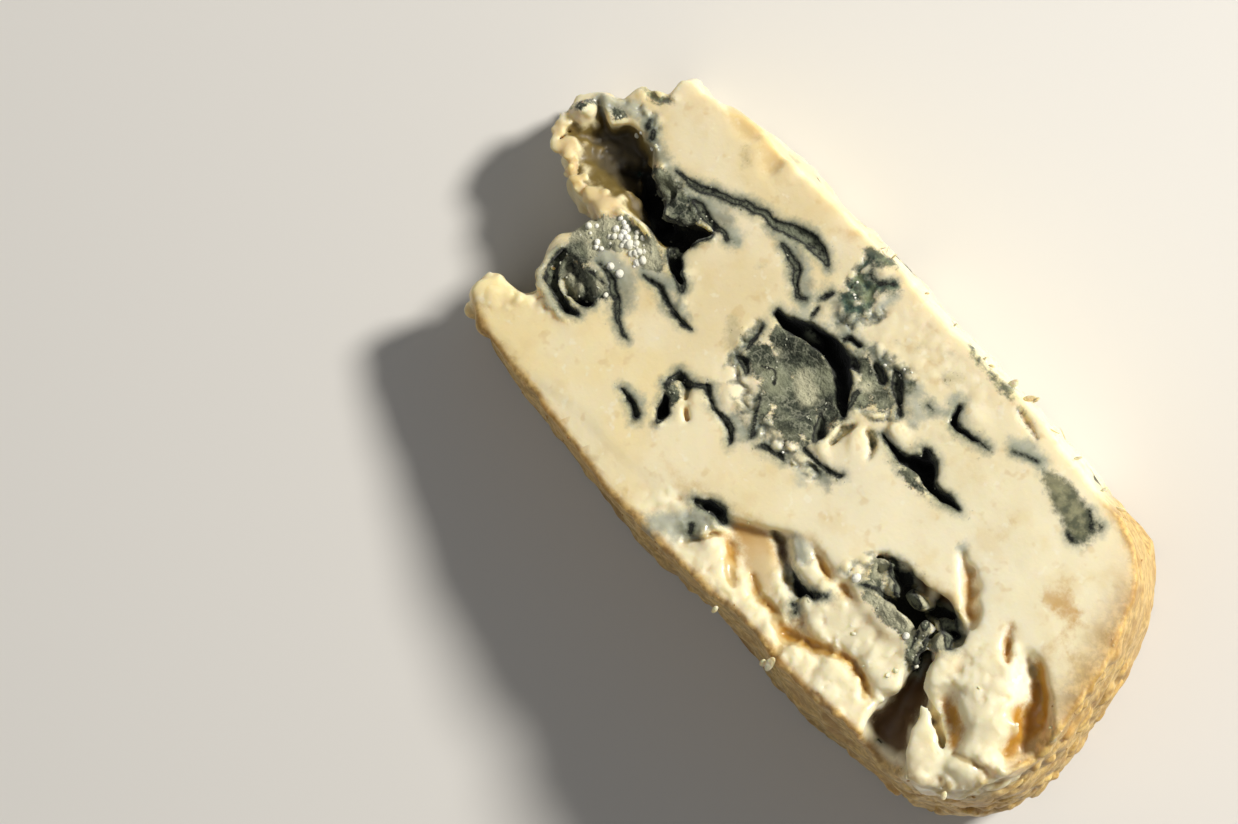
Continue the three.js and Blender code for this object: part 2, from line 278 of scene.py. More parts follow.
# %% [markdown]
# ## Curds as cells
# A block of curds looks like a dry pond floor: cells that meet along creases.
# Each cell has a random seed point and owns the places nearest to it. The gap
# between the nearest and the second nearest seed is zero on a crease, so it
# tells how far a place is from its cell's edge. A few random numbers per cell
# lift and tilt it, and the same function can paint the creases later.

# %% A plane split into cells
CELLS_ALONG, CELLS_ACROSS = 160, 100            # room for cells as small as 0.7 mm


def curd_cells(x, y, size, seed):
    """Distance to the cell's edge in mm, a number for each cell, and a small random tilt."""
    table = np.random.default_rng(seed).uniform(0, 1, (CELLS_ALONG, CELLS_ACROSS, 5))
    u, v = x / size, y / size
    i, j = np.floor(u).astype(int), np.floor(v).astype(int)
    first, second = np.full(u.shape, 9.0), np.full(u.shape, 9.0)
    number, tilt = np.zeros(u.shape), np.zeros(u.shape)
    for di in (-1, 0, 1):
        for dj in (-1, 0, 1):
            cell = table[i + di + CELLS_ALONG // 2, j + dj + CELLS_ACROSS // 2]
            du, dv = u - i - di - cell[..., 0], v - j - dj - cell[..., 1]
            gap = np.hypot(du, dv)
            nearest = gap < first
            second = np.where(nearest, first, np.minimum(second, gap))
            first = np.where(nearest, gap, first)
            number = np.where(nearest, cell[..., 4], number)
            tilt = np.where(nearest, du * (cell[..., 2] - 0.5) + dv * (cell[..., 3] - 0.5), tilt)
    return (second - first) * size / 2, number, tilt * size


def dome(edge, width):
    """0 on a cell's edge, rising in a round shoulder to 1 at that width inside it."""
    return 1 - (1 - np.clip(edge / width, 0, 1)) ** 2


print("a dome from edge to middle:", [float(dome(edge, 1.0)) for edge in (0, 0.5, 1)])

# %% Plates of curd in the torn strip
# x, y, half length, half width, turn, and how far the top is over the face
PLATES = [
    (-1.2, -17.8, 3.2, 1.7, 52, -0.4), (-3.6, -21.6, 2.2, 1.5, 52, -0.5),
    (-7.8, -20.5, 2.4, 2.2, 40, -0.1), (1.9, -16.3, 0.9, 0.6, 0, -0.7), (0.4, -20.4, 0.9, 0.9, 0, -1),
    (3.4, -21.2, 2.6, 2.4, -30, -0.3), (6.6, -21.6, 2.4, 2.4, -30, -0.4), (8.4, -23, 1.2, 1.4, 0, -0.8),
    (9.2, -19.2, 1.2, 1.3, 30, -0.9), (12.2, -21.2, 2.6, 2.2, -16, -0.8),
    (15.4, -20.8, 1.7, 2, -20, -0.9), (5, -15.2, 3.4, 2.2, -14, -2), (10, -16.4, 2.8, 1.7, -22, -1.8),
    (17.4, -19.4, 1.4, 0.8, 0, -2.3), (14.8, -16.7, 1.5, 0.8, -15, -1.4),
    (17.1, -15.3, 1.4, 0.8, -10, -0.9), (19.5, -16.1, 2.2, 0.85, -24, -0.8),
    (21.8, -17.9, 0.8, 0.45, -20, -1.3), (20, -18.3, 1.8, 0.45, -10, -2),
    (14.8, -14.7, 2.2, 0.6, -4, -3.4), (8.6, -12.8, 2.4, 0.6, -36, -3),
    (13.6, -12.4, 2.1, 1.3, -10, -0.3), (10.6, -11.3, 1.8, 1, -14, -0.5),
    (16.6, -11.8, 1.1, 1.1, 0, -0.1), (13.2, -10, 2.6, 0.4, -14, -1.6), (19, -10.4, 1.6, 0.6, 20, -2),
    (20.8, -12.9, 2.7, 1.9, -14, -0.8), (24.2, -13.5, 2.2, 2.2, 0, -0.9),
    (28.2, -12.9, 2.9, 2.5, -8, -0.5), (26.4, -16.1, 3.6, 0.35, -8, -1.6),
    (21.4, -21.6, 2.6, 2.6, 4, -0.5), (25.6, -20.8, 2.8, 2.9, 5, -0.3), (30, -20.8, 2.6, 2.6, 10, -0.8),
    (29.5, -17.4, 1.2, 0.7, -30, -0.8), (36.2, -3.2, 3.2, 3, -50, 0.2), (40.2, -7.2, 4, 3.4, -48, 0.35),
    (43.8, -7.5, 1.6, 0.9, 18, 0.3), (42.6, -11.2, 2.4, 1.7, -45, -0.2), (35.2, -7.8, 2.1, 2.2, 0, 0.1),
    (38.4, -11.8, 2.8, 1, -42, -2.4), (36.6, -15.6, 2.4, 1.5, -20, -1.1),
    (40.4, -17.4, 2.4, 1.6, -30, -1), (44.4, -15.2, 2.3, 0.8, 54, -1.2),
    (43.4, -19.4, 1.6, 1.3, 20, -2.3), (45.8, -18, 1.6, 1.4, 30, -2.6), (47.6, -13, 1.2, 2.6, -14, -1.8),
    (49.8, -13.4, 1.2, 2, 0, -2.8), (48.2, -16.6, 1.5, 1.3, 30, -3.1), (46.2, -14.2, 0.5, 2.2, -20, -2.9),
    (50.6, -10, 1.4, 2, 0, -2.2), (45.4, -11.4, 1.2, 0.5, 10, -1.4), (41.4, -2.3, 2.8, 0.8, -48, -1.3),
    (43.4, -1, 3.4, 1.7, -46, -2.6), (46.2, -5.6, 2.8, 2, -60, -3.8), (46.6, -9.4, 1.4, 1.2, 90, -3.4),
    (32.9, -12.5, 3, 0.8, -70, -4.4), (34.4, -19.6, 3, 1.6, -62, -5), (49.4, -4.4, 1.6, 1.1, -40, -1),
]


FAR = 4.0                       # distances to chains are measured up to here, in mm


def chain_distance(chains, x, y):
    """Distance to the nearest chain of dots, seen from above."""
    best = np.full(np.broadcast(x, y).shape, FAR)
    for chain in chains:
        dots = np.array(chain, float)
        for a, b in zip(dots, dots[1:] if len(dots) > 1 else dots):
            u = b[:2] - a[:2]
            t = np.clip(((x - a[0]) * u[0] + (y - a[1]) * u[1]) / (u @ u + 1e-9), 0, 1)
            gap = np.hypot(x - a[0] - t * u[0], y - a[1] - t * u[1])
            best = np.minimum(best, gap - (a[2] + t * (b[2] - a[2])))
    return best


def plate_field(x, y):
    """Level of the nearest plate, distance to its seam, and how far outside the plates a place is."""
    first = np.full(np.broadcast(x, y).shape, 99.0)
    second, level, size = first.copy(), np.zeros(first.shape), np.ones(first.shape)
    for cx, cy, long, wide, turn, top in PLATES:
        c, s = math.cos(math.radians(turn)), math.sin(math.radians(turn))
        along, across = (x - cx) * c + (y - cy) * s, (y - cy) * c - (x - cx) * s
        gap = np.hypot(along / long, across / wide)
        closer = gap < first
        second = np.where(closer, first, np.minimum(second, gap))
        first = np.where(closer, gap, first)
        level, size = np.where(closer, top, level), np.where(closer, min(long, wide), size)
    return level, (second - first) * size / 2, np.clip(first - 1.2, 0, 1.5)


def softened(field, times):
    for _ in range(times):
        for axis in (0, 1):
            field = (np.roll(field, 1, axis) + field + np.roll(field, -1, axis)) / 3
    return field


plate_level, seam, outside = plate_field(face_x, face_y)
CREASES = [
    [(4.2, -17.6, 0.3), (5.8, -18.7, 0.6), (7, -19.6, 0.6), (8.2, -20.4, 0.3)],
    [(9.2, -17.2, 0.3), (11.6, -18.2, 0.5), (14, -18.4, 0.5), (16, -19.1, 0.6), (18.2, -19.5, 0.7),
     (20.2, -18.8, 0.6), (22.2, -17.2, 0.5), (24, -16.3, 0.5), (26, -15.8, 0.5), (28, -16.2, 0.5),
     (30, -17.4, 0.4)], [(18.4, -20.8, 0.4), (18.6, -22.6, 0.5), (18.8, -24.2, 0.7)],
    [(12.2, -13.9, 0.3), (12.6, -15, 0.3)], [(10.2, -9.7, 0.3), (13.4, -10.3, 0.4), (16.2, -11.2, 0.3)],
    [(0, -20.6, 0.3), (1.4, -18.6, 0.4), (2.2, -17.2, 0.3)],
    [(42, -14.4, 0.3), (43.6, -13.6, 0.3), (45.4, -13, 0.2)], [(44.4, -20.4, 0.2), (44.4, -17.6, 0.3)],
    [(46.8, -18.4, 0.2), (46.6, -16, 0.3), (46.8, -13.6, 0.2)],
    [(49.8, -15.4, 0.2), (48.6, -14.4, 0.2), (48.4, -11.6, 0.2)],
]
crease_gap = chain_distance(CREASES, face_x, face_y)
heel = smooth_step(33, 36, face_x)
# the heel's plates are rounder, and their seams and creases are shallower
seam_depth, crease_depth = 0.35 - 0.2 * heel, 0.8 - 0.3 * heel
plates = (1 - heel) * softened(plate_level, 3) + heel * softened(plate_level, 7) - 0.5 * outside
plates = plates + seam_depth * (dome(seam, 0.7) - 1) * (plate_level > -1.5)
plates = plates - crease_depth * smooth_step(0.5, -0.4, crease_gap)
print("plates of curd:", len(PLATES), "creases:", len(CREASES))

# %% [markdown]
# ## Open, crumbly paste
# Round the mould the curds never knit together, so the face is broken into
# small blocks. `OPEN` is where mould threads run between the blocks,
# `OPEN_CLEAN` is open without mould, and `CRUMBLY` is only gently uneven.

# %% Where the paste is open and crumbly
OPEN = [
    [(-13.6, 4.2, 0.8), (-13, 1.6, 1), (-11.6, -1.2, 1.1), (-9.6, -2.8, 1.3), (-6, -3.6, 1.5),
     (-2, -4, 1.4), (2, -3.8, 1.2), (4.6, -3.4, 0.9)], [(3.4, 7, 0.6), (5.8, 7.4, 0.8), (7.4, 9.4, 0.7)],
    [(-1, 13, 0.7), (1.6, 13.4, 0.8), (4.6, 13.2, 0.6)],
    [(-10.2, 19.2, 0.8), (-8.6, 17.4, 1.5), (-7.4, 15, 1.6), (-6.6, 12.8, 1.2), (-4.6, 16.4, 0.9)],
    [(17.4, -5.6, 0.8), (17.8, -7.6, 1), (16.4, -9, 0.8)], [(-31, 9.2, 0.8), (-34.6, 9.4, 0.7)],
    [(-2.6, 10.4, 0.7), (-1.6, 12.2, 0.7)],
]
OPEN_CLEAN = [
    [(-51.6, 8.4, 0.7), (-49.6, 10.4, 1), (-46.6, 11.8, 1.2), (-44.2, 13, 1), (-42.2, 13.2, 0.6)],
    [(-47.8, 14.4, 0.8), (-45.6, 15.8, 1), (-43.8, 16.8, 0.6)],
    [(-41, -18, 1), (-38, -14.4, 0.8), (-34.8, -13.6, 0.7)],
]
CRUMBLY = [
    [(-2, 18.8, 1), (2, 17.6, 2.2), (6, 16.8, 2.6), (10.4, 18.2, 1.8), (15, 19.2, 1)],
    [(12.6, 10.8, 1.4), (10.4, 10, 1)], [(-3.4, 13.8, 1.2), (0.4, 15, 1.6)],
    [(-12.6, -1.6, 0.8), (-9, -5.2, 1.2), (-4, -6.4, 0.8)],
]
CURD_SIZE, CURD_SEED = 1.8, 32  # mm across one small curd, and the draw it comes from
curd_edge, curd_number, curd_tilt = curd_cells(face_x, face_y, CURD_SIZE, CURD_SEED)
small_blocks = (curd_number - 0.5) * 0.6 + 0.7 * dome(curd_edge, 0.6) - 0.45
open_share = smooth_step(0.5, -0.5, chain_distance(OPEN + OPEN_CLEAN, face_x, face_y))
crumbly_share = smooth_step(1.2, -0.8, chain_distance(CRUMBLY, face_x, face_y))
crumbly_share = crumbly_share * smooth_step(0.8, 2.0, edge_in)

# one scoop of the torn strip is smooth
SMOOTH_SCOOP = [(2.6, -15.4, 1.4), (5.8, -14.8, 2), (9.4, -15.8, 1.8), (11.8, -17, 0.8)]
gentle = 1 - smooth_step(0.8, -0.4, chain_distance([SMOOTH_SCOOP], face_x, face_y))
RELIEF = TORN_STRONG * (0.2 * small_blocks + 0.35 * curd_tilt) * gentle
RELIEF = RELIEF + np.maximum(open_share, 0.24 * crumbly_share) * small_blocks
print("small blocks rise and fall by", round(float(small_blocks.std()), 2), "mm")

# %% The broken nose's bowl
# one edge is a thin wall that slopes in gently, the other edge is steep
BOWL_WALL = [
    (-51.4, 8), (-52, 6), (-51.6, 4), (-50.2, 2.8), (-46.6, 1.7), (-43.2, 0.6), (-39.6, 0.2),
]
BOWL_STEEP = [
    (-39.6, 0.2), (-38, 1.8), (-36, 2.4), (-34, 2.8), (-31.2, 2.6), (-28.8, 4.2), (-27.6, 5.6),
    (-26.6, 8.2), (-28.2, 8.6), (-30.6, 7.5), (-33, 5.7), (-35.2, 6), (-37.7, 7.6), (-38.4, 9.8),
    (-40.2, 11.2), (-41.6, 10.8), (-43.2, 10.7), (-45, 10.1), (-46.6, 8.9), (-48.6, 9.4), (-50.4, 9.4),
    (-51.4, 8),
]
BOWL_FLOOR, BOWL_FALL = 3.6, 5.0                # depth at the nose, and how far it falls inwards
WALL_SLOPE, WALL_CURVE, STEEP_SLOPE = 0.5, 0.06, 3.0
BOWL_RING = BOWL_WALL + BOWL_STEEP[1:-1]

bowl_gap = ring_distance(BOWL_RING, face_x, face_y)
from_wall = line_distance(BOWL_WALL, face_x, face_y)
from_steep = line_distance(BOWL_STEEP, face_x, face_y)
gentle_slope = WALL_SLOPE * from_wall + WALL_CURVE * from_wall ** 2
bowl_depth = smooth_min(gentle_slope, STEEP_SLOPE * from_steep, 0.8)
bowl_depth = np.minimum(bowl_depth, BOWL_FLOOR + BOWL_FALL * smooth_step(-44, -37, face_x))
bowl_depth = np.where(bowl_gap < 0, np.maximum(bowl_depth, 0), 0)
print("deepest point of the bowl:", round(float(bowl_depth.max()), 1), "mm")

# %% The whole face, with its fine roughness
sunken = TORN_STRONG * plates - (TORN - TORN_STRONG) * SOFT_DROP
face_rise = face_level(AXES[0][:, None]) + sunken + RELIEF - bowl_depth
FACE = (GZ - face_rise[:, :, None]) * FACE_TILT
FACE = FACE + 0.012 * FINE + 0.035 * MIDDLE + 0.08 * BROAD

# billows are bumps folded at zero, which makes round knobs with sharp creases
billow = 0.42 * np.abs(bumps(2.4, 8)) + 0.20 * np.abs(bumps(1.0, 9)) - 0.4
low_rim = smooth_step(38, 42, face_x) * smooth_step(-7, -11, face_y) * smooth_step(7, 4, edge_in)
strip_rough = (0.3 - 0.12 * heel) * TORN_STRONG * gentle
bowl_rough = 1.3 * smooth_step(1.2, 0.2, bowl_gap)
rough_share = np.maximum(bowl_rough, np.maximum(strip_rough, 1.2 * low_rim))
BILLOW = (rough_share[:, :, None] * billow).astype(np.float32)
right_rim = smooth_step(44, 49, face_x) * smooth_step(-12, -9, face_y) * smooth_step(12, 8, face_y)
BILLOW = BILLOW + (0.28 * right_rim[:, :, None] * (np.abs(FINE) - 0.5)).astype(np.float32)
print("rough share of the face:", round(float((rough_share > 0.1).mean()), 2))

# %% Wall, face and floor together
EDGE_SOFTNESS, FOOT_SOFTNESS = 0.55, 0.9
FLAP_THICKNESS = 2.6            # below it the wall is torn away, by as much at the most
flap_side = smooth_step(-29, -31, face_x) * smooth_step(-44, -42, face_x)
flap_side = flap_side * smooth_step(-15.5, -14, face_y) * smooth_step(-3, -6, face_y)
depth = face_level(AXES[0])[:, None, None] - GZ
undercut = np.clip(depth - FLAP_THICKNESS, 0, FLAP_THICKNESS)
UNDERCUT = (flap_side[:, :, None] * undercut).astype(np.float32)
BODY = smooth_max(WALL - 0.6 * BILLOW + UNDERCUT, FACE, EDGE_SOFTNESS)
BODY = smooth_max(BODY, -GZ + 0 * BODY, FOOT_SOFTNESS).astype(np.float32)
print("inside share of the block:", round(float((BODY < 0).mean()), 2))

# %% [markdown]
# ## Tools for carving
# A crack or a hole is given as a short chain of balls that swell and shrink
# along it, and a curd as one lump. Each only touches the grid points near it,
# and is measured in a grid that was pushed about by random bumps, so every edge
# comes out ragged, the way paste tears. A chain can be drawn out in depth,
# which makes a narrow slot that goes deep.

# %% Cutting and adding chains of balls
CHAIN_MARGIN, LUMP_MARGIN = 2.2, 1.4            # how far past its size each can be felt, in mm
FACET_PLACE = 0.84                              # flats start at this share of a lump's size


def window(low, high):
    """The part of the grid between two corners."""
    return tuple(
        slice(max(int((a - axis[0]) / STEP), 0), max(int((b - axis[0]) / STEP) + 2, 0))
        for a, b, axis in zip(low, high, AXES)
    )


def segment_distance(part, a, b, deep, warp=1.0):
    """Distance from the grid points in a window to a ball that grows from a to b."""
    x = GX[part[0]] + warp * WARP_X[part]
    y = GY[:, part[1]] + warp * WARP_Y[part]
    z = GZ[:, :, part[2]]
    ux, uy, uz = b[0] - a[0], b[1] - a[1], (b[2] - a[2]) / deep
    dx, dy, dz = x - a[0], y - a[1], (z - a[2]) / deep
    t = np.clip((dx * ux + dy * uy + dz * uz) / (ux * ux + uy * uy + uz * uz + 1e-9), 0, 1)
    gap = np.sqrt((dx - t * ux) ** 2 + (dy - t * uy) ** 2 + (dz - t * uz) ** 2)
    return gap - (a[3] + t * (b[3] - a[3]))


def chain_ends(chain, sink):
    balls = [(x, y, face_level(x) - sink, r) for x, y, r in chain]
    return zip(balls, balls[1:] if len(balls) > 1 else balls)


def work_chain(chain, sink, deep, softness, cut, keep=0.0):
    for a, b in chain_ends(chain, sink):
        reach = (max(a[3], b[3]) + CHAIN_MARGIN) * np.array([1, 1, deep])
        part = window(np.minimum(a[:3], b[:3]) - reach, np.maximum(a[:3], b[:3]) + reach)
        gap = segment_distance(part, a, b, deep) * min(deep, 1)
        if keep:
            gap = smooth_max(gap, WALL[part] + keep, 0.4)
        if cut:
            BODY[part] = smooth_max(BODY[part], -gap, softness)
        else:
            BODY[part] = smooth_min(BODY[part], gap, softness)


def add_lump(x, y, z, half, turn=0.0, softness=0.6, power=2.6, facets=0):
    """Joins a lump with the given half sizes, rounder at power 2 and blockier above it."""
    reach = max(half) + LUMP_MARGIN
    part = window((x - reach, y - reach, z - reach), (x + reach, y + reach, z + reach))
    if min(s.stop - s.start for s in part) < 2:
        return
    c, s = math.cos(math.radians(turn)), math.sin(math.radians(turn))
    dx = GX[part[0]] - x + WARP_X[part]
    dy = GY[:, part[1]] - y + WARP_Y[part]
    up = (GZ[:, :, part[2]] - z) / half[2]
    along, across = (dx * c + dy * s) / half[0], (dy * c - dx * s) / half[1]
    size = np.abs(along) ** power + np.abs(across) ** power + np.abs(up) ** power
    sides = np.random.default_rng(int(97 * abs(x) + 13 * abs(y))).normal(0, 1, (facets, 3))
    for a, b, h in sides / np.linalg.norm(sides, axis=1, keepdims=True):
        size = size + np.maximum((a * along + b * across + abs(h) * up) / FACET_PLACE, 0) ** power
    BODY[part] = smooth_min(BODY[part], (size ** (1 / power) - 1) * min(half), softness)


print("a 4 mm window spans", [s.stop - s.start for s in window((0, 0, 9), (4, 4, 13))], "grid points")

# %% [markdown]
# ## Curds that stand out
# Blue cheese is pressed from curds. Where it tears, and along its cracks, the
# old curds show as rounded lumps. The larger ones are listed one by one. Small ones
# are thrown into the torn strip by a seeded random draw, sunk past their waist.

# %% Curd lumps
# x, y, half length, half width, turn, and height of the top over the face
CURDS = [
    (16.6, -11.8, 1.15, 1.1, 0, 0.1), (18.2, -8.3, 0.6, 0.55, 0, 0.1), (17, -7.6, 1.5, 1.1, -30, 0.1),
    (16.6, -9.4, 0.9, 0.7, 0, 0), (1.9, -16.4, 1, 0.65, 0, -0.3), (1, -18.9, 0.62, 0.6, 0, -0.1),
    (34.7, -12.8, 1.5, 0.6, -60, -1.8), (44.4, -15.2, 2.3, 0.85, 54, -1.2),
    (43.8, -7.4, 1.6, 0.8, 18, 0.1), (47.6, 9.4, 0.9, 1.5, -12, 0), (18.2, -23.4, 1, 0.8, -70, -2.4),
    (4.9, 0.2, 2.5, 1.4, -10, 0.3), (6.4, 3, 1, 2.2, 38, 0.6), (5.4, 6.4, 1.7, 1.5, 10, 0.4),
    (-2, -4, 1.6, 1.7, 0, 0.2), (2.2, -3.6, 1.7, 1.2, 10, 0.2), (-3.8, -2.6, 0.8, 0.7, 0, 0.2),
    (-8.6, -3.8, 2.2, 1.9, 10, 0.15), (-11.4, -7.5, 1.1, 1.1, 0, 0.3), (-3, 10.6, 1.4, 0.8, -20, 0.3),
    (16.2, 16.9, 4.2, 2.1, -4, 0.35), (10, 8, 2.6, 1.1, -2, 0.4), (7.7, 11, 0.9, 0.9, 0, 0.3),
    (-11, 9.4, 1.8, 0.7, 30, 0.2), (-16, 15, 1.6, 0.7, -30, 0.15), (-7.6, 20.6, 1.9, 0.9, -8, 0.35),
    (-4.9, 17.3, 1.3, 0.8, -45, 0.35), (-5.6, 19, 0.7, 0.6, 0, 0.3), (-8.4, 15.7, 1, 0.6, 0, 0.25),
    (-26, 0.2, 1.2, 1.4, -10, 0.3), (-32.6, -2.2, 2.3, 0.9, -19, 0.2), (-31.3, -3.8, 1, 0.8, -20, 0.3),
    (-34.8, -3.6, 0.9, 0.7, -30, 0.3), (-29.4, -3.6, 1.4, 1.2, 0, 0), (-25.4, 2.9, 0.8, 1.8, -40, 0.3),
    (-22.6, -1, 1.2, 0.6, -30, 0.15), (-38.8, -15.6, 1.2, 0.7, 30, 0.3), (-36.8, -14.6, 1, 0.6, 20, 0.2),
]
for x, y, long, wide, turn, top in CURDS:
    tall = 1.15 * min(long, wide)
    add_lump(x, y, face_level(x) + top - tall, (long, wide, tall), turn, 0.5, 3.0, facets=3)

THROWN_CURDS = 60
rng = np.random.default_rng(21)
small_curds = 0
for _ in range(THROWN_CURDS):
    x, y = rng.uniform(8, 50), rng.uniform(-24, -15)
    r = rng.uniform(0.4, 0.9)
    i, j = int((x - AXES[0][0]) / STEP), int((y - AXES[1][0]) / STEP)
    if TORN_STRONG[i, j] > 0.75:
        half = (r, r * rng.uniform(0.6, 1), r)
        add_lump(x, y, face_rise[i, j] - 0.6 * r, half, rng.uniform(0, 180), 0.4, 3.6, facets=4)
        small_curds += 1
print("curds placed by hand:", len(CURDS), "thrown in:", small_curds)

# %% [markdown]
# ## Cracks and pockets
# Mould needs air, so it grows along cracks and in pockets. Each hollow here is
# a chain of balls: where it runs, how wide it is, how far its middle sinks
# below the face, and how much deeper than wide it is.

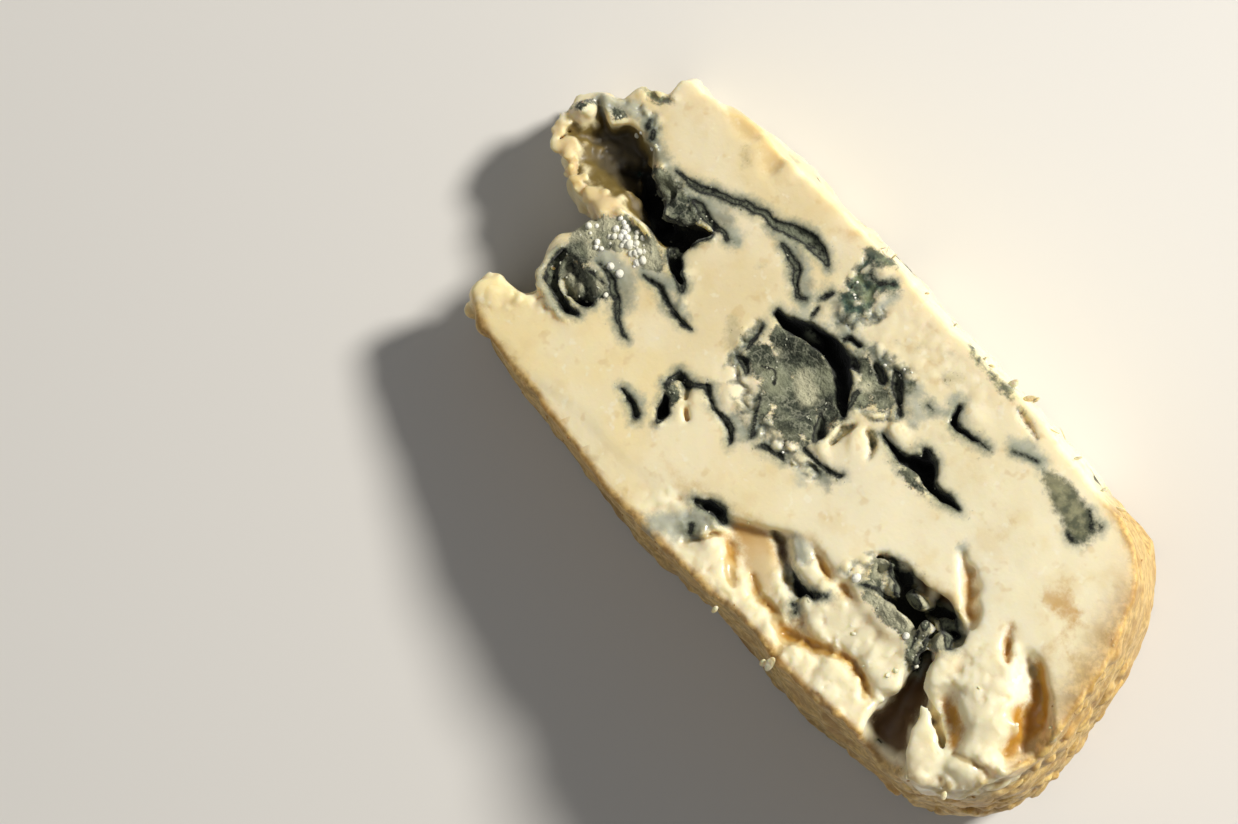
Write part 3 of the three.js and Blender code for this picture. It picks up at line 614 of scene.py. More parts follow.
# %% Hollows
# name: (sink, deep, softness, [(x, y, radius), ...])
HOLLOWS = {
    "nose_core": (3.4, 2, 0.9, [(-42, 8.8, 0.6), (-39.2, 7.8, 1.5), (-35.4, 6.2, 2.7), (-31.4, 5.6, 2.9),
        (-28.4, 6.4, 2), (-26.6, 8, 0.9)]),
    "nose_finger": (1.8, 2.4, 0.4, [(-29, 4, 1.2), (-27, 2.8, 1), (-25.6, 1.5, 0.7), (-24.5, 0.6, 0.35)]),
    "flap_gap": (0.6, 2.6, 0.3, [(-39.3, -7.2, 0.5), (-38.7, -9.2, 0.65), (-37.4, -10.8, 0.7),
        (-35.2, -11.7, 0.65), (-33, -11.9, 0.55), (-31.4, -11.2, 0.3)]),
    "flap_bowl": (0.2, 1.3, 0.5, [(-37.4, -8, 1.5), (-35.2, -8.8, 1.9), (-33, -8.6, 1.7)]),
    "flap_hole": (1.2, 2.4, 0.3, [(-32.8, -9.6, 0.7), (-31.6, -8.9, 0.8)]),
    "flap_vein": (0, 0.9, 0.3, [(-34.4, -4.8, 0.12), (-31.6, -5, 0.42), (-29.9, -6.3, 0.45),
        (-27.4, -7.9, 0.32), (-24.4, -8.8, 0.1)]),
    "arc_vein": (0, 0.9, 0.3, [(-36.2, 10.9, 0.1), (-33.6, 11, 0.38), (-24.6, 14.8, 0.47),
        (-19.6, 16.4, 0.82), (-17, 16.85, 0.87), (-15, 16.75, 0.8), (-13, 16.2, 0.45)]),
    "fork": (0, 0.9, 0.3, [(-31.4, 10, 0.35), (-29.4, 9.8, 0.5), (-27.2, 9.3, 0.5), (-24.6, 9.3, 0.3)]),
    "second_vein": (0, 0.9, 0.3, [(-19.2, 13.9, 0.28), (-17.4, 13.5, 0.45), (-16, 12.5, 0.4),
        (-14.8, 11.2, 0.42), (-13.4, 10.5, 0.38), (-12.6, 11, 0.25)]),
    "seed_pit": (0.1, 2, 0.25, [(-11.3, 12.5, 0.15), (-10.9, 13.4, 0.32), (-10.4, 14.4, 0.15)]),
    "bridge_slit": (0.1, 2.4, 0.25, [(-10.4, 11.6, 0.2), (-10.1, 10.5, 0.25)]),
    "velvet_bed": (0, 0.34, 0.7, [(-9.6, 3.4, 2.5), (-4.6, 3.6, 4), (-0.6, 2.8, 2.8)]),
    "velvet_crack": (1, 2.6, 0.4, [(-13, 7.2, 0.4), (-11.4, 7.3, 0.85), (-8.6, 8.7, 1.3), (-6, 9.3, 1.4),
        (-3.8, 8.8, 1.25), (0.4, 6.4, 1.1), (1.8, 5.6, 0.6), (2.5, 4.8, 0.4)]),
    "crack_branch": (0.3, 2.4, 0.3, [(-3, 9.4, 0.5), (-1.6, 9.9, 0.35), (-0.9, 9.9, 0.15)]),
    "crack_nook": (0.3, 2.4, 0.3, [(-5.4, 11.2, 0.2), (-4.6, 11.9, 0.25), (-3.2, 11.7, 0.38)]),
    "bed_hole": (0.4, 2.2, 0.4, [(0.3, 2.3, 0.35), (1, 1.6, 0.7), (1.7, 0.7, 0.7), (2.2, -0.1, 0.35)]),
    "bed_corner": (0.2, 1.6, 0.3, [(-12.2, 0.3, 0.35), (-11.2, 0.1, 0.5), (-10.2, -0.4, 0.4)]),
    "upper_bed": (0, 0.4, 0.6, [(-0.6, 11, 1.2), (2.4, 9.8, 1.6), (4.6, 9.6, 1.2)]),
    "upper_spots": (0.3, 2.4, 0.3, [(0.2, 12, 0.3), (1.4, 11.9, 0.45), (2.4, 11.5, 0.5)]),
    "upper_curve": (0.2, 2.4, 0.3, [(3.2, 12.8, 0.4), (4.5, 11.4, 0.5), (6.1, 10.1, 0.4),
        (7.4, 9.4, 0.2)]),
    "arrow_hole": (0.9, 3.4, 0.4, [(8.1, 6, 0.15), (10, 6, 0.25), (11.8, 6.2, 0.45), (13, 6.9, 1),
        (14.1, 7.4, 1.25), (15.2, 6.9, 1.1), (16.6, 6.3, 0.75), (18, 6.2, 0.5), (20.8, 6.7, 0.15)]),
    "arrow_spike": (0.9, 3, 0.3, [(12.8, 8.7, 0.5), (13.7, 7.8, 0.9)]),
    "crescent": (0.4, 2.8, 0.3, [(11.4, 15.6, 0.3), (11.9, 14.8, 0.38), (12.7, 14.1, 0.42),
        (14, 13.7, 0.28), (15.4, 13.8, 0.18), (17.2, 14.3, 0.05)]),
    "curd_shell": (0.2, 1.8, 0.3, [(3.6, 1.6, 0.4), (3.7, 3.4, 0.6), (4.4, 4.8, 0.35)]),
    "shell_shade": (0.2, 1.8, 0.3, [(6.4, 5, 0.4), (8, 4.2, 0.6), (8.6, 3, 0.3)]),
    "foot_line": (0, 2.2, 0.25, [(-2.3, -5.8, 0.25), (-1, -5.5, 0.25), (0.4, -5, 0.35),
        (1.2, -5.2, 0.2)]),
    "toe_line": (0, 2.2, 0.25, [(2.1, -1.9, 0.25), (4.2, -2, 0.25), (6, -1.6, 0.3), (7.6, -1.1, 0.25)]),
    "eye_arc": (0.2, 2.4, 0.3, [(-16.2, -8, 0.4), (-15.6, -6.9, 0.45), (-14, -6.9, 0.5),
        (-13, -7.8, 0.4)]),
    "eye_hole": (0.8, 3.6, 0.3, [(-14.9, -9.9, 0.6), (-14.4, -11, 0.75), (-13.6, -12.5, 0.3)]),
    "eye_shade": (0.3, 2, 0.4, [(-12, -8.9, 0.4), (-11.2, -10, 0.5)]),
    "wire_vein": (0.1, 2.2, 0.25, [(-12.6, -5.5, 0.3), (-10.8, -6.1, 0.2), (-8.4, -7.2, 0.25),
        (-6.4, -7.3, 0.25), (-5.2, -7.9, 0.2)]),
    "dash": (0.1, 2.2, 0.25, [(-20, -13.2, 0.15), (-16.2, -14.2, 0.45)]),
    "cream_vein": (0.1, 2.2, 0.25, [(-29.4, -1.4, 0.08), (-28, -1.6, 0.25), (-26.6, -1.2, 0.28),
        (-25.6, -1.7, 0.28), (-24, -2, 0.2), (-22.2, -2.1, 0.3), (-21, -2, 0.37), (-19.5, -2, 0.15)]),
    "rind_slot": (0.6, 1.8, 0.4, [(-2.8, -16.2, 0.4), (-1.4, -15.4, 0.8), (0.2, -15, 0.8),
        (1.4, -15.3, 0.35)]),
    "scoop_edge": (1.8, 1.4, 0.5, [(6.8, -11.9, 0.4), (8, -12.5, 0.7), (9.4, -13.3, 0.6),
        (11.4, -14, 0.4)]),
    "curd_crack": (2.4, 1.8, 0.4, [(13, -14.5, 0.5), (14.8, -14.8, 0.7), (16.6, -14.2, 0.5)]),
    "chunk_moat": (2.4, 1.8, 0.4, [(35.4, -12.6, 0.8), (37.2, -13.4, 0.7), (39.4, -14.6, 0.5),
        (42, -15.4, 0.35)]),
    "flake_moat": (1.8, 1.6, 0.4, [(42.6, -18, 0.4), (44.2, -17.4, 0.4), (45.8, -15.9, 0.4)]),
    "big_pocket": (0.8, 1.9, 0.6, [(18.8, -4.8, 1.2), (21.5, -5, 2.3), (24.6, -5.2, 3), (28, -4.8, 3.1),
        (31, -4.8, 2.4)]),
    "pocket_core": (3.6, 1.6, 0.5, [(20.6, -4.6, 1), (23.6, -5.4, 1.6), (26.6, -6.2, 1.8),
        (29.6, -6.4, 2.4), (31.6, -7.6, 1.8)]),
    "dark_gap": (3.6, 2.1, 0.5, [(32, -9, 1.2), (33, -12, 1.6), (33.9, -15.4, 2.1), (35, -18.8, 3.1),
        (36.4, -21.6, 3.6), (37.4, -24.8, 3.8)]),
    "chunk_line": (0, 1.2, 0.5, [(35.4, 0.8, 0.2), (36.6, -0.4, 0.45), (38, -1.8, 0.35)]),
    "chunk_dimple": (-0.2, 1, 0.3, [(34.6, -6, 0.5), (35.2, -7.4, 0.6), (36, -7.8, 0.4)]),
    "shelf_groove": (0.4, 1.6, 0.6, [(25.4, 3, 0.4), (27.2, 2.4, 0.6), (29.2, 1, 0.9), (31, -0.6, 1),
        (32.2, -2, 0.6)]),
    "wire_edge_dimples": (0, 0.5, 0.5, [(-36.4, 21.2, 1), (-33, 21, 1.2)]),
    "wire_edge_dent": (0, 0.5, 0.5, [(-30.6, 21.2, 0.9), (-28.2, 20.2, 1.2)]),
    "edge_leaf": (0, 1.6, 0.3, [(16.4, 20.5, 0.2), (18.6, 19.9, 0.25), (20.6, 19.6, 0.2)]),
}
for name, (sink, deep, softness, chain) in HOLLOWS.items():
    work_chain(chain, sink, deep, softness, cut=True, keep=0.9 if name.startswith("nose") else 0)
print("hollows:", len(HOLLOWS))

# %% [markdown]
# ## What grows and hangs in the hollows
# Mould builds clumps on the walls of a pocket, and curds that came half loose
# lean into it. They are lumps again, added after the cutting.

# %% Clumps in the hollows
# x, y, how far the middle sinks below the face, and the three half sizes
CLUMPS = [
    (-36.6, 8.4, 1.9, 1.3, 1, 1.6), (-34.8, 7.6, 1.9, 1.7, 1.2, 2.4), (-32.8, 7.4, 1.7, 1.8, 1.4, 2.2),
    (-31.2, 8.4, 1.4, 1.4, 1.1, 1.8), (-33.4, 5.9, 1.6, 0.9, 0.6, 0.9), (-34.4, 9.2, 1.4, 1.9, 0.7, 1.6),
    (-30.6, 0.8, 1.5, 1.9, 1.5, 2.2), (-33.4, 0.6, 2.4, 2.6, 1.2, 2.4), (-36.6, -0.6, 1.6, 1.6, 1.4, 1.9),
    (-38.6, -3.4, 1.4, 1.9, 2.4, 1.8), (-36, -8.4, 2, 1.4, 1, 1.5), (-34, -8.2, 1.7, 1.2, 1.1, 1.5),
    (-31.8, -6.7, 1.2, 1.3, 1.1, 1.5), (-33.4, -6.6, 1.5, 1.2, 0.8, 1.4), (-38, -8.2, 2.2, 0.8, 0.7, 1.2),
    (-51, 9.2, 1.2, 1.1, 0.9, 1.6), (-49.4, 10.2, 1.3, 1.4, 1.1, 1.8), (-47.6, 10, 1.1, 0.9, 1.3, 1.6),
    (-46.2, 11.4, 1.2, 1.3, 1, 1.8), (-44.6, 11.6, 1.6, 0.9, 0.9, 1.9), (-43, 12, 1.5, 0.9, 0.8, 1.7),
    (-41.4, 12.2, 1.4, 0.9, 0.6, 1.6), (-39.4, 11.4, 1.2, 1.3, 0.6, 1.4),
    (-37.2, 10.4, 1.4, 1.3, 0.6, 1.4), (-51.7, 5.4, 1.2, 0.8, 1.3, 1.3), (-49.6, 3.1, 1, 1.1, 0.8, 1.2),
    (-47.2, 2.2, 0.9, 1, 0.7, 1.1), (-45, 1, 0.8, 1, 0.8, 1.1), (-43, 1.1, 1.1, 0.9, 0.7, 1),
    (-41.6, 0.2, 0.9, 1, 0.7, 1.1), (-46.2, 6.6, 4.4, 0.8, 0.7, 1), (-44.4, 4.9, 3.8, 0.7, 0.6, 0.9),
    (-42.2, 6.4, 5.2, 0.9, 0.7, 1.2), (-47.8, 7.6, 3.8, 0.8, 0.6, 1), (-40.6, 3.6, 3.6, 0.7, 0.8, 0.9),
    (19.2, -4.9, 1.2, 1.3, 0.9, 1.6), (19, -6.3, 1.3, 1, 0.8, 1.6), (20.6, -7.3, 1.9, 0.9, 0.6, 1.5),
    (22.2, -6, 2.2, 1.2, 1, 2.4), (23, -9.1, 1.9, 2.1, 1.3, 2.4), (25.6, -9.1, 1.8, 1.9, 1.4, 2.4),
    (28, -9.2, 2, 1.4, 1.2, 2.2), (30.2, -10, 2.2, 1.2, 0.9, 1.8), (25.9, -4.5, 2.5, 1.5, 0.9, 2),
    (28.8, -6.8, 2.3, 0.9, 1.2, 2.2), (30.3, -7.8, 2.7, 0.8, 0.8, 2), (31.6, -6.3, 2.4, 1.2, 1.2, 2.4),
    (29.6, -4.6, 4.2, 1.1, 0.9, 1.8), (32.3, -7.6, 3, 0.7, 0.8, 1.6), (-14.9, -8.6, 0.9, 1.4, 0.9, 1.4),
    (-13.2, -12.8, 0.2, 0.8, 0.6, 0.9), (-8.3, 8.7, 2.9, 1.4, 1, 1.2),
]
for x, y, sink, *half in CLUMPS:
    add_lump(x, y, face_level(x) - sink, half, softness=0.6, power=3.0, facets=4)
print("clumps:", len(CLUMPS))

# %% The flap's lip and the billowing pockets
# a thin lip of paste along the flap
LIP = [
    (-40.1, -7, 0.5), (-39.9, -9, 0.5), (-39, -11, 0.55), (-37.4, -12.5, 0.5), (-35.2, -13.1, 0.45),
    (-32.8, -13.2, 0.4), (-31.2, -12.6, 0.25),
]
work_chain(LIP, sink=0.1, deep=1.6, softness=0.3, cut=False)

# mould makes the walls of the two big pockets billow
NOSE_MOULD = [(-36, 7.6, 1.4), (-31, 8, 1.6)]
pocket_gap = chain_distance([HOLLOWS["big_pocket"][3], NOSE_MOULD], face_x, face_y)
pocket_share = smooth_step(1.0, -0.5, pocket_gap)
BODY -= pocket_share[:, :, None] * (0.30 * np.abs(FINE) + 0.25 * np.abs(MIDDLE) - 0.3)
BODY -= BILLOW * (BODY < 1.5)
print("share of the face in the big pockets:", round(float((pocket_share > 0.5).mean()), 3))

# %% The prong, a last trim, and the crest
PRONG_TALL = 3.0
for x, y, long, wide, turn, top in [(-42, -17.6, 2.5, 1.5, 66, 0.5), (-40.2, -17, 1.6, 1.3, 40, 0.3)]:
    add_lump(x, y, face_level(x) + top - PRONG_TALL, (long, wide, PRONG_TALL), turn, 0.3, 7.0)
nose_top = nose_break * smooth_step(4, 2, depth)
BODY[:] = smooth_max(BODY, WALL - 0.45 - 0.5 * nose_top, 0.4)
BODY[:] = smooth_max(BODY, (-GZ).astype(np.float32), 0.05)

# small curds along the crest of the bowl's thin wall
CREST = [(-52, 7.4), (-51.8, 5.2), (-49.8, 3.1), (-47, 2.2), (-45, 0.9), (-43.2, 0.9), (-40.8, 0.2)]
CREST_LUMPS = 70
rng = np.random.default_rng(5)
for _ in range(CREST_LUMPS):
    t = rng.uniform(0, len(CREST) - 1.001)
    a, b = np.array(CREST[int(t)]), np.array(CREST[int(t) + 1])
    x, y = a + (b - a) * (t % 1) + rng.normal(0, 0.6, 2)
    r = rng.uniform(0.35, 0.75)
    z = face_level(x) - rng.uniform(0.4, 2.4)
    half = (r, r * rng.uniform(0.6, 1), r)
    add_lump(x, y, z, half, rng.uniform(0, 180), 0.25, 3.0, facets=3)
print("curds on the crest:", CREST_LUMPS)

# %% [markdown]
# ## From numbers to a mesh
# Surface nets put one vertex in each grid cell that the surface passes
# through, at the mean of the points where it crosses the cell's edges, and
# join neighbours with quads. The result is even, smooth and closed.

# %% Surface nets
def surface_net(field):
    inside = field < 0
    cells = tuple(n - 1 for n in field.shape)
    corners = list(np.ndindex(2, 2, 2))
    shifted = (inside[tuple(slice(a, a + n) for a, n in zip(corner, cells))] for corner in corners)
    count = sum(part.astype(np.uint8) for part in shifted)
    active = (count > 0) & (count < 8)
    spots = np.argwhere(active)
    number = np.full(cells, -1, np.int32)
    number[active] = np.arange(len(spots))
    value = {c: field[tuple((spots + c).T)] for c in corners}
    total, hits = np.zeros((len(spots), 3)), np.zeros(len(spots))
    for a in corners:
        for axis in range(3):
            if a[axis] == 0:
                b = tuple(1 if n == axis else a[n] for n in range(3))
                crossed = (value[a] < 0) != (value[b] < 0)
                share = np.where(crossed, value[a] / np.where(crossed, value[a] - value[b], 1), 0)
                total += crossed[:, None] * (np.array(a) + share[:, None] * np.eye(3)[axis])
                hits += crossed
    points = (spots + total / hits[:, None]) * STEP + [axis[0] for axis in AXES]
    quads = []
    for axis in range(3):
        u, v = (axis + 1) % 3, (axis + 2) % 3
        low = [slice(1, -1)] * 3
        low[axis] = slice(0, -1)
        high = list(low)
        high[axis] = slice(1, None)
        first, second = inside[tuple(low)], inside[tuple(high)]
        edge = np.argwhere(first != second)
        edge[:, u] += 1
        edge[:, v] += 1
        outward = inside[tuple(edge.T)]
        ring = []
        for du, dv in ((1, 1), (0, 1), (0, 0), (1, 0)):
            cell = edge.copy()
            cell[:, u] -= du
            cell[:, v] -= dv
            ring.append(number[tuple(cell.T)])
        ring = np.stack(ring, 1)
        ring[~outward] = ring[~outward][:, ::-1]
        quads.append(ring)
    return points, np.concatenate(quads)


points, quads = surface_net(BODY)
print("vertices:", len(points), "quads:", len(quads))

# %% Making and finishing a mesh
def mesh_piece(name, vertices, faces):
    mesh = bpy.data.meshes.new(name)
    mesh.vertices.add(len(vertices))
    mesh.vertices.foreach_set("co", np.asarray(vertices, np.float32).ravel())
    corners = faces.shape[1]
    mesh.loops.add(faces.size)
    mesh.loops.foreach_set("vertex_index", faces.astype(np.int32).ravel())
    mesh.polygons.add(len(faces))
    mesh.polygons.foreach_set("loop_start", np.arange(0, faces.size, corners, dtype=np.int32))
    mesh.update(calc_edges=True)
    mesh.validate()
    piece = bpy.data.objects.new(name, mesh)
    bpy.context.scene.collection.objects.link(piece)
    return piece


def finished(piece):
    """Turns what the modifiers make into a plain mesh."""
    graph = bpy.context.evaluated_depsgraph_get()
    mesh = bpy.data.meshes.new_from_object(piece.evaluated_get(graph))
    piece.modifiers.clear()
    old, piece.data = piece.data, mesh
    bpy.data.meshes.remove(old)
    mesh.name = piece.name
    return piece


# %% [markdown]
# ## What lies where
# The finish of cheese follows its structure. We give each vertex a few
# numbers: its distance to the nearest dark vein, velvet patch, green patch and
# so on, in millimetres. Distances blend well between vertices, so the painted
# edge stays sharp even though the mesh is coarser than the edge. How much of
# the space around a vertex is solid tells creases and hollows from open face.

# %% Reading the grid at the vertices
def read_grid(field, where):
    at = [np.clip((where[:, k] - AXES[k][0]) / STEP, 0, SHAPE[k] - 1.01) for k in range(3)]
    base = [a.astype(np.int32) for a in at]
    part = [a - b for a, b in zip(at, base)]
    total = 0
    for corner in np.ndindex(2, 2, 2):
        weight = math.prod(p if c else 1 - p for p, c in zip(part, corner))
        total = total + weight * field[tuple(b + c for b, c in zip(base, corner))]
    return total


def box_mean(field, cells):
    """Mean of the field over a cube that many cells wide each way."""
    for axis in range(3):
        widths = [(cells + 1, cells) if n == axis else (0, 0) for n in range(3)]
        padded = np.pad(field, widths, mode="edge")
        run = np.cumsum(padded, axis=axis, dtype=np.float32)
        ahead = [slice(None)] * 3
        behind = [slice(None)] * 3
        ahead[axis], behind[axis] = slice(2 * cells + 1, None), slice(0, -2 * cells - 1)
        field = (run[tuple(ahead)] - run[tuple(behind)]) / (2 * cells + 1)
    return field


NEAR_REACH, WIDE_REACH = 1.2, 3.6               # how far around it each mean looks, in mm
solid_share = np.clip(0.5 - BODY / STEP, 0, 1).astype(np.float32)
SHARE_NEAR = box_mean(solid_share, round(NEAR_REACH / STEP))
SHARE_WIDE = box_mean(solid_share, round(WIDE_REACH / STEP))


def survey(spots):
    """What the painting needs to know at each spot, in millimetres."""
    x = spots[:, 0] + read_grid(WARP_X, spots)
    y = spots[:, 1] + read_grid(WARP_Y, spots)
    land = {"x": x, "y": y, "z": spots[:, 2], "under": face_level(spots[:, 0]) - spots[:, 2]}
    land["wall"] = read_grid(WALL, spots)
    land["near"], land["wide"] = read_grid(SHARE_NEAR, spots), read_grid(SHARE_WIDE, spots)
    land["on_face"] = (land["wall"] < -1.0) | (land["under"] < 2.4)
    return land


def paint_distance(chains, land):
    return np.where(land["on_face"], chain_distance(chains, land["x"], land["y"]), FAR)


print("share of solid near the surface:", round(float(SHARE_NEAR.mean()), 2))

# %% [markdown]
# ## Painting by chains
# The veins are painted with the same kind of chain as the cracks, read only
# from above, and many of the cracks serve again, a hair wider. Their walls are
# painted too, because a chain is measured straight down.

# %% Where the dark veins run
DARK_HOLLOWS = """
    arc_vein fork second_vein seed_pit bridge_slit velvet_crack crack_branch crack_nook bed_hole
    bed_corner upper_spots upper_curve arrow_hole arrow_spike crescent foot_line toe_line eye_hole dash
    flap_gap flap_hole flap_vein cream_vein nose_finger rind_slot
""".split()
DARK_LINES = [
    [(1.2, 8.2, 0.4), (1.9, 7.2, 0.4), (2.2, 6.2, 0.4)],
    [(-13, 4.6, 0.15), (-12.6, 2.8, 0.3), (-12.2, 1.6, 0.25)],
    [(-9.2, 1.2, 0.12), (-7.8, 1.6, 0.2), (-6.8, 0.9, 0.2)],
    [(-7.2, -1.4, 0.15), (-4.6, -5.3, 0.3), (-4.2, -6, 0.12)], [(4.2, -2.8, 0.3), (4.8, -3, 0.2)],
    [(-16.2, -8.6, 0.3), (-16, -6.9, 0.4), (-14.5, -6.8, 0.5), (-13.2, -6.2, 0.35), (-12.3, -5.5, 0.4),
     (-11, -6, 0.25), (-9.5, -6.9, 0.25), (-6.8, -6.9, 0.4), (-5.2, -7.9, 0.2)],
    [(-37.4, -7, 0.12), (-36.2, -8, 0.15), (-35.6, -7.6, 0.12)], [(-34.6, -6.4, 0.12), (-31.4, -6, 0.15)],
    [(8.6, 12.8, 0.1), (9.4, 13, 0.15)], [(34.2, 17.2, 0.25)],
    [(20.2, 16, 0.05), (21.4, 16.4, 0.12), (22.8, 17.2, 0.15)],
    [(32, 17.6, 0.12), (33, 17.1, 0.22), (33.7, 16.4, 0.2)],
    [(32.2, 13.9, 0.1), (33, 13.7, 0.25), (33.6, 13.9, 0.1)],
    [(12.4, -14, 0.25), (13.6, -14.6, 0.55), (15.2, -14.7, 0.6), (16.6, -14.1, 0.4), (17.8, -13, 0.2)],
    [(15.2, -16.2, 0.12), (16.6, -16.6, 0.2)],
    [(19.2, -3.8, 0.5), (20.8, -4.4, 0.8), (22.6, -4.2, 1.3), (24.6, -5.4, 1.3), (26.4, -6.2, 1.3),
     (28.4, -6.2, 0.8)], [(19.6, -8.3, 0.15), (21.4, -7.6, 0.3), (25, -6.8, 0.6)],
    [(28, -4.2, 0.7), (29.8, -3.6, 1.1), (31.4, -4.4, 1.1), (32.4, -5.6, 0.6)],
    [(28.6, -7.6, 0.2), (29.2, -9.2, 0.2)], [(30, -7, 0.3), (30.8, -9.6, 0.4), (31.4, -10.6, 0.4)],
    [(-0.9, -18.7, 0.3), (-0.4, -19.6, 0.3)],
    [(-38, 7.4, 0.4), (-36, 6.2, 1.1), (-33, 4.6, 1.5), (-30, 5.4, 1.9), (-28.2, 6.6, 1.3),
     (-27, 7.8, 0.6)], [(-43.9, 12.6, 0.25), (-43.2, 12, 0.35)], [(-42.2, 12.2, 0.3), (-41.4, 11.4, 0.4)],
    [(-9.4, 20.3, 0.1), (-8.4, 19.2, 0.15), (-7.2, 18.9, 0.3), (-5.8, 19.5, 0.2)],
]
DARK = [[(x, y, r + 0.05) for x, y, r in HOLLOWS[name][3]] for name in DARK_HOLLOWS] + DARK_LINES
print("dark chains:", len(DARK))

# %% Where the other patches lie
VELVET = [
    [(-10.6, 5.6, 1.5), (-8, 5.2, 2.4), (-5, 5.4, 2.8), (-2, 4.6, 2.8), (0.6, 3.6, 2)],
    [(-10.4, 2.2, 1.7), (-7, 1.2, 2), (-4, 0.8, 2.2), (-1, 0.2, 2), (1.4, 0.4, 1)],
    [(-6.4, -0.8, 1.2), (-5.4, -2.4, 1)], [(-3, -1.6, 1.2), (-0.6, -1.8, 1.2), (1.2, -1.6, 0.7)],
    [(-0.8, 10.8, 0.9), (1.2, 10.2, 1.5), (3.4, 9.6, 1.4), (4.8, 9, 1.1)], [(2, 8, 0.9), (3.4, 7.8, 0.7)],
    [(12.4, 5.7, 0.35), (13.8, 5.1, 0.85), (15.2, 4.9, 0.7), (16.6, 5, 0.35)],
    [(-37.4, 8.8, 1), (-35.4, 8, 1.9), (-33.2, 7.2, 2.1), (-31.2, 7.8, 1.6), (-30.2, 8.6, 1.1)],
    [(-52.4, 7, 0.5), (-51.4, 8.8, 0.5)], [(-47.8, 10.2, 0.5), (-46.6, 10.2, 0.6)],
    [(-39.8, -4, 1.6), (-38.4, -2.4, 2), (-37.4, -0.6, 1.6)], [(-38.6, -6, 1.5), (-36.6, -5.2, 1.4)],
    [(-37.2, -8, 1.5), (-35, -8.4, 1.9), (-33, -7.6, 1.9), (-31.4, -6.9, 1.3)],
    [(-31.4, 1.2, 1.7), (-30, 0.8, 1.5), (-28.8, 0.6, 0.9)], [(-36.4, 0.2, 1.4), (-33, 0.6, 1.2)],
    [(-36, -2.4, 1), (-34.6, -1.4, 0.9)], [(-15.8, -8.6, 0.9), (-14.4, -8.6, 1)],
    [(19, -5.2, 1), (19.8, -6.8, 0.9), (21, -7.2, 0.6)],
    [(21.4, -9, 0.9), (23.6, -8.8, 1.4), (26, -8.9, 1.2), (28.2, -8.8, 1), (29.8, -9.6, 0.9),
     (31.2, -10, 0.7)], [(21.8, -5.7, 0.8)], [(26.2, -4.2, 0.8)], [(29.2, -6.9, 0.8), (30.2, -8.1, 0.6)],
    [(31.4, -6.4, 1.1), (32.2, -5.8, 0.7)],
]
TEAL = [
    [(-11.2, 20.6, 0.3), (-9.8, 20.8, 0.9), (-8.6, 21.4, 0.8), (-7.4, 21.6, 0.5)],
    [(-10, 19.6, 0.5), (-9.2, 18.2, 1), (-8.6, 17, 1.2), (-7.4, 18.2, 0.9), (-6, 19, 0.9),
     (-5, 19.8, 0.5)], [(-9.2, 15.6, 1), (-7.6, 14.6, 1.1), (-6.4, 15.6, 0.9), (-7.2, 17, 0.8)],
    [(16.2, 20.6, 0.05), (18.6, 19.9, 0.12), (20.6, 19.6, 0.05)],
    [(6.6, 21.9, 0.1), (8, 21.3, 0.35), (10.4, 21.2, 0.25), (12.4, 21, 0.4), (14, 21.1, 0.5),
     (15.2, 20.8, 0.2)], [(-47, 15, 0.6), (-45.4, 15.8, 0.8), (-44, 16.4, 0.5)], [(-40.4, 7, 0.3)],
]
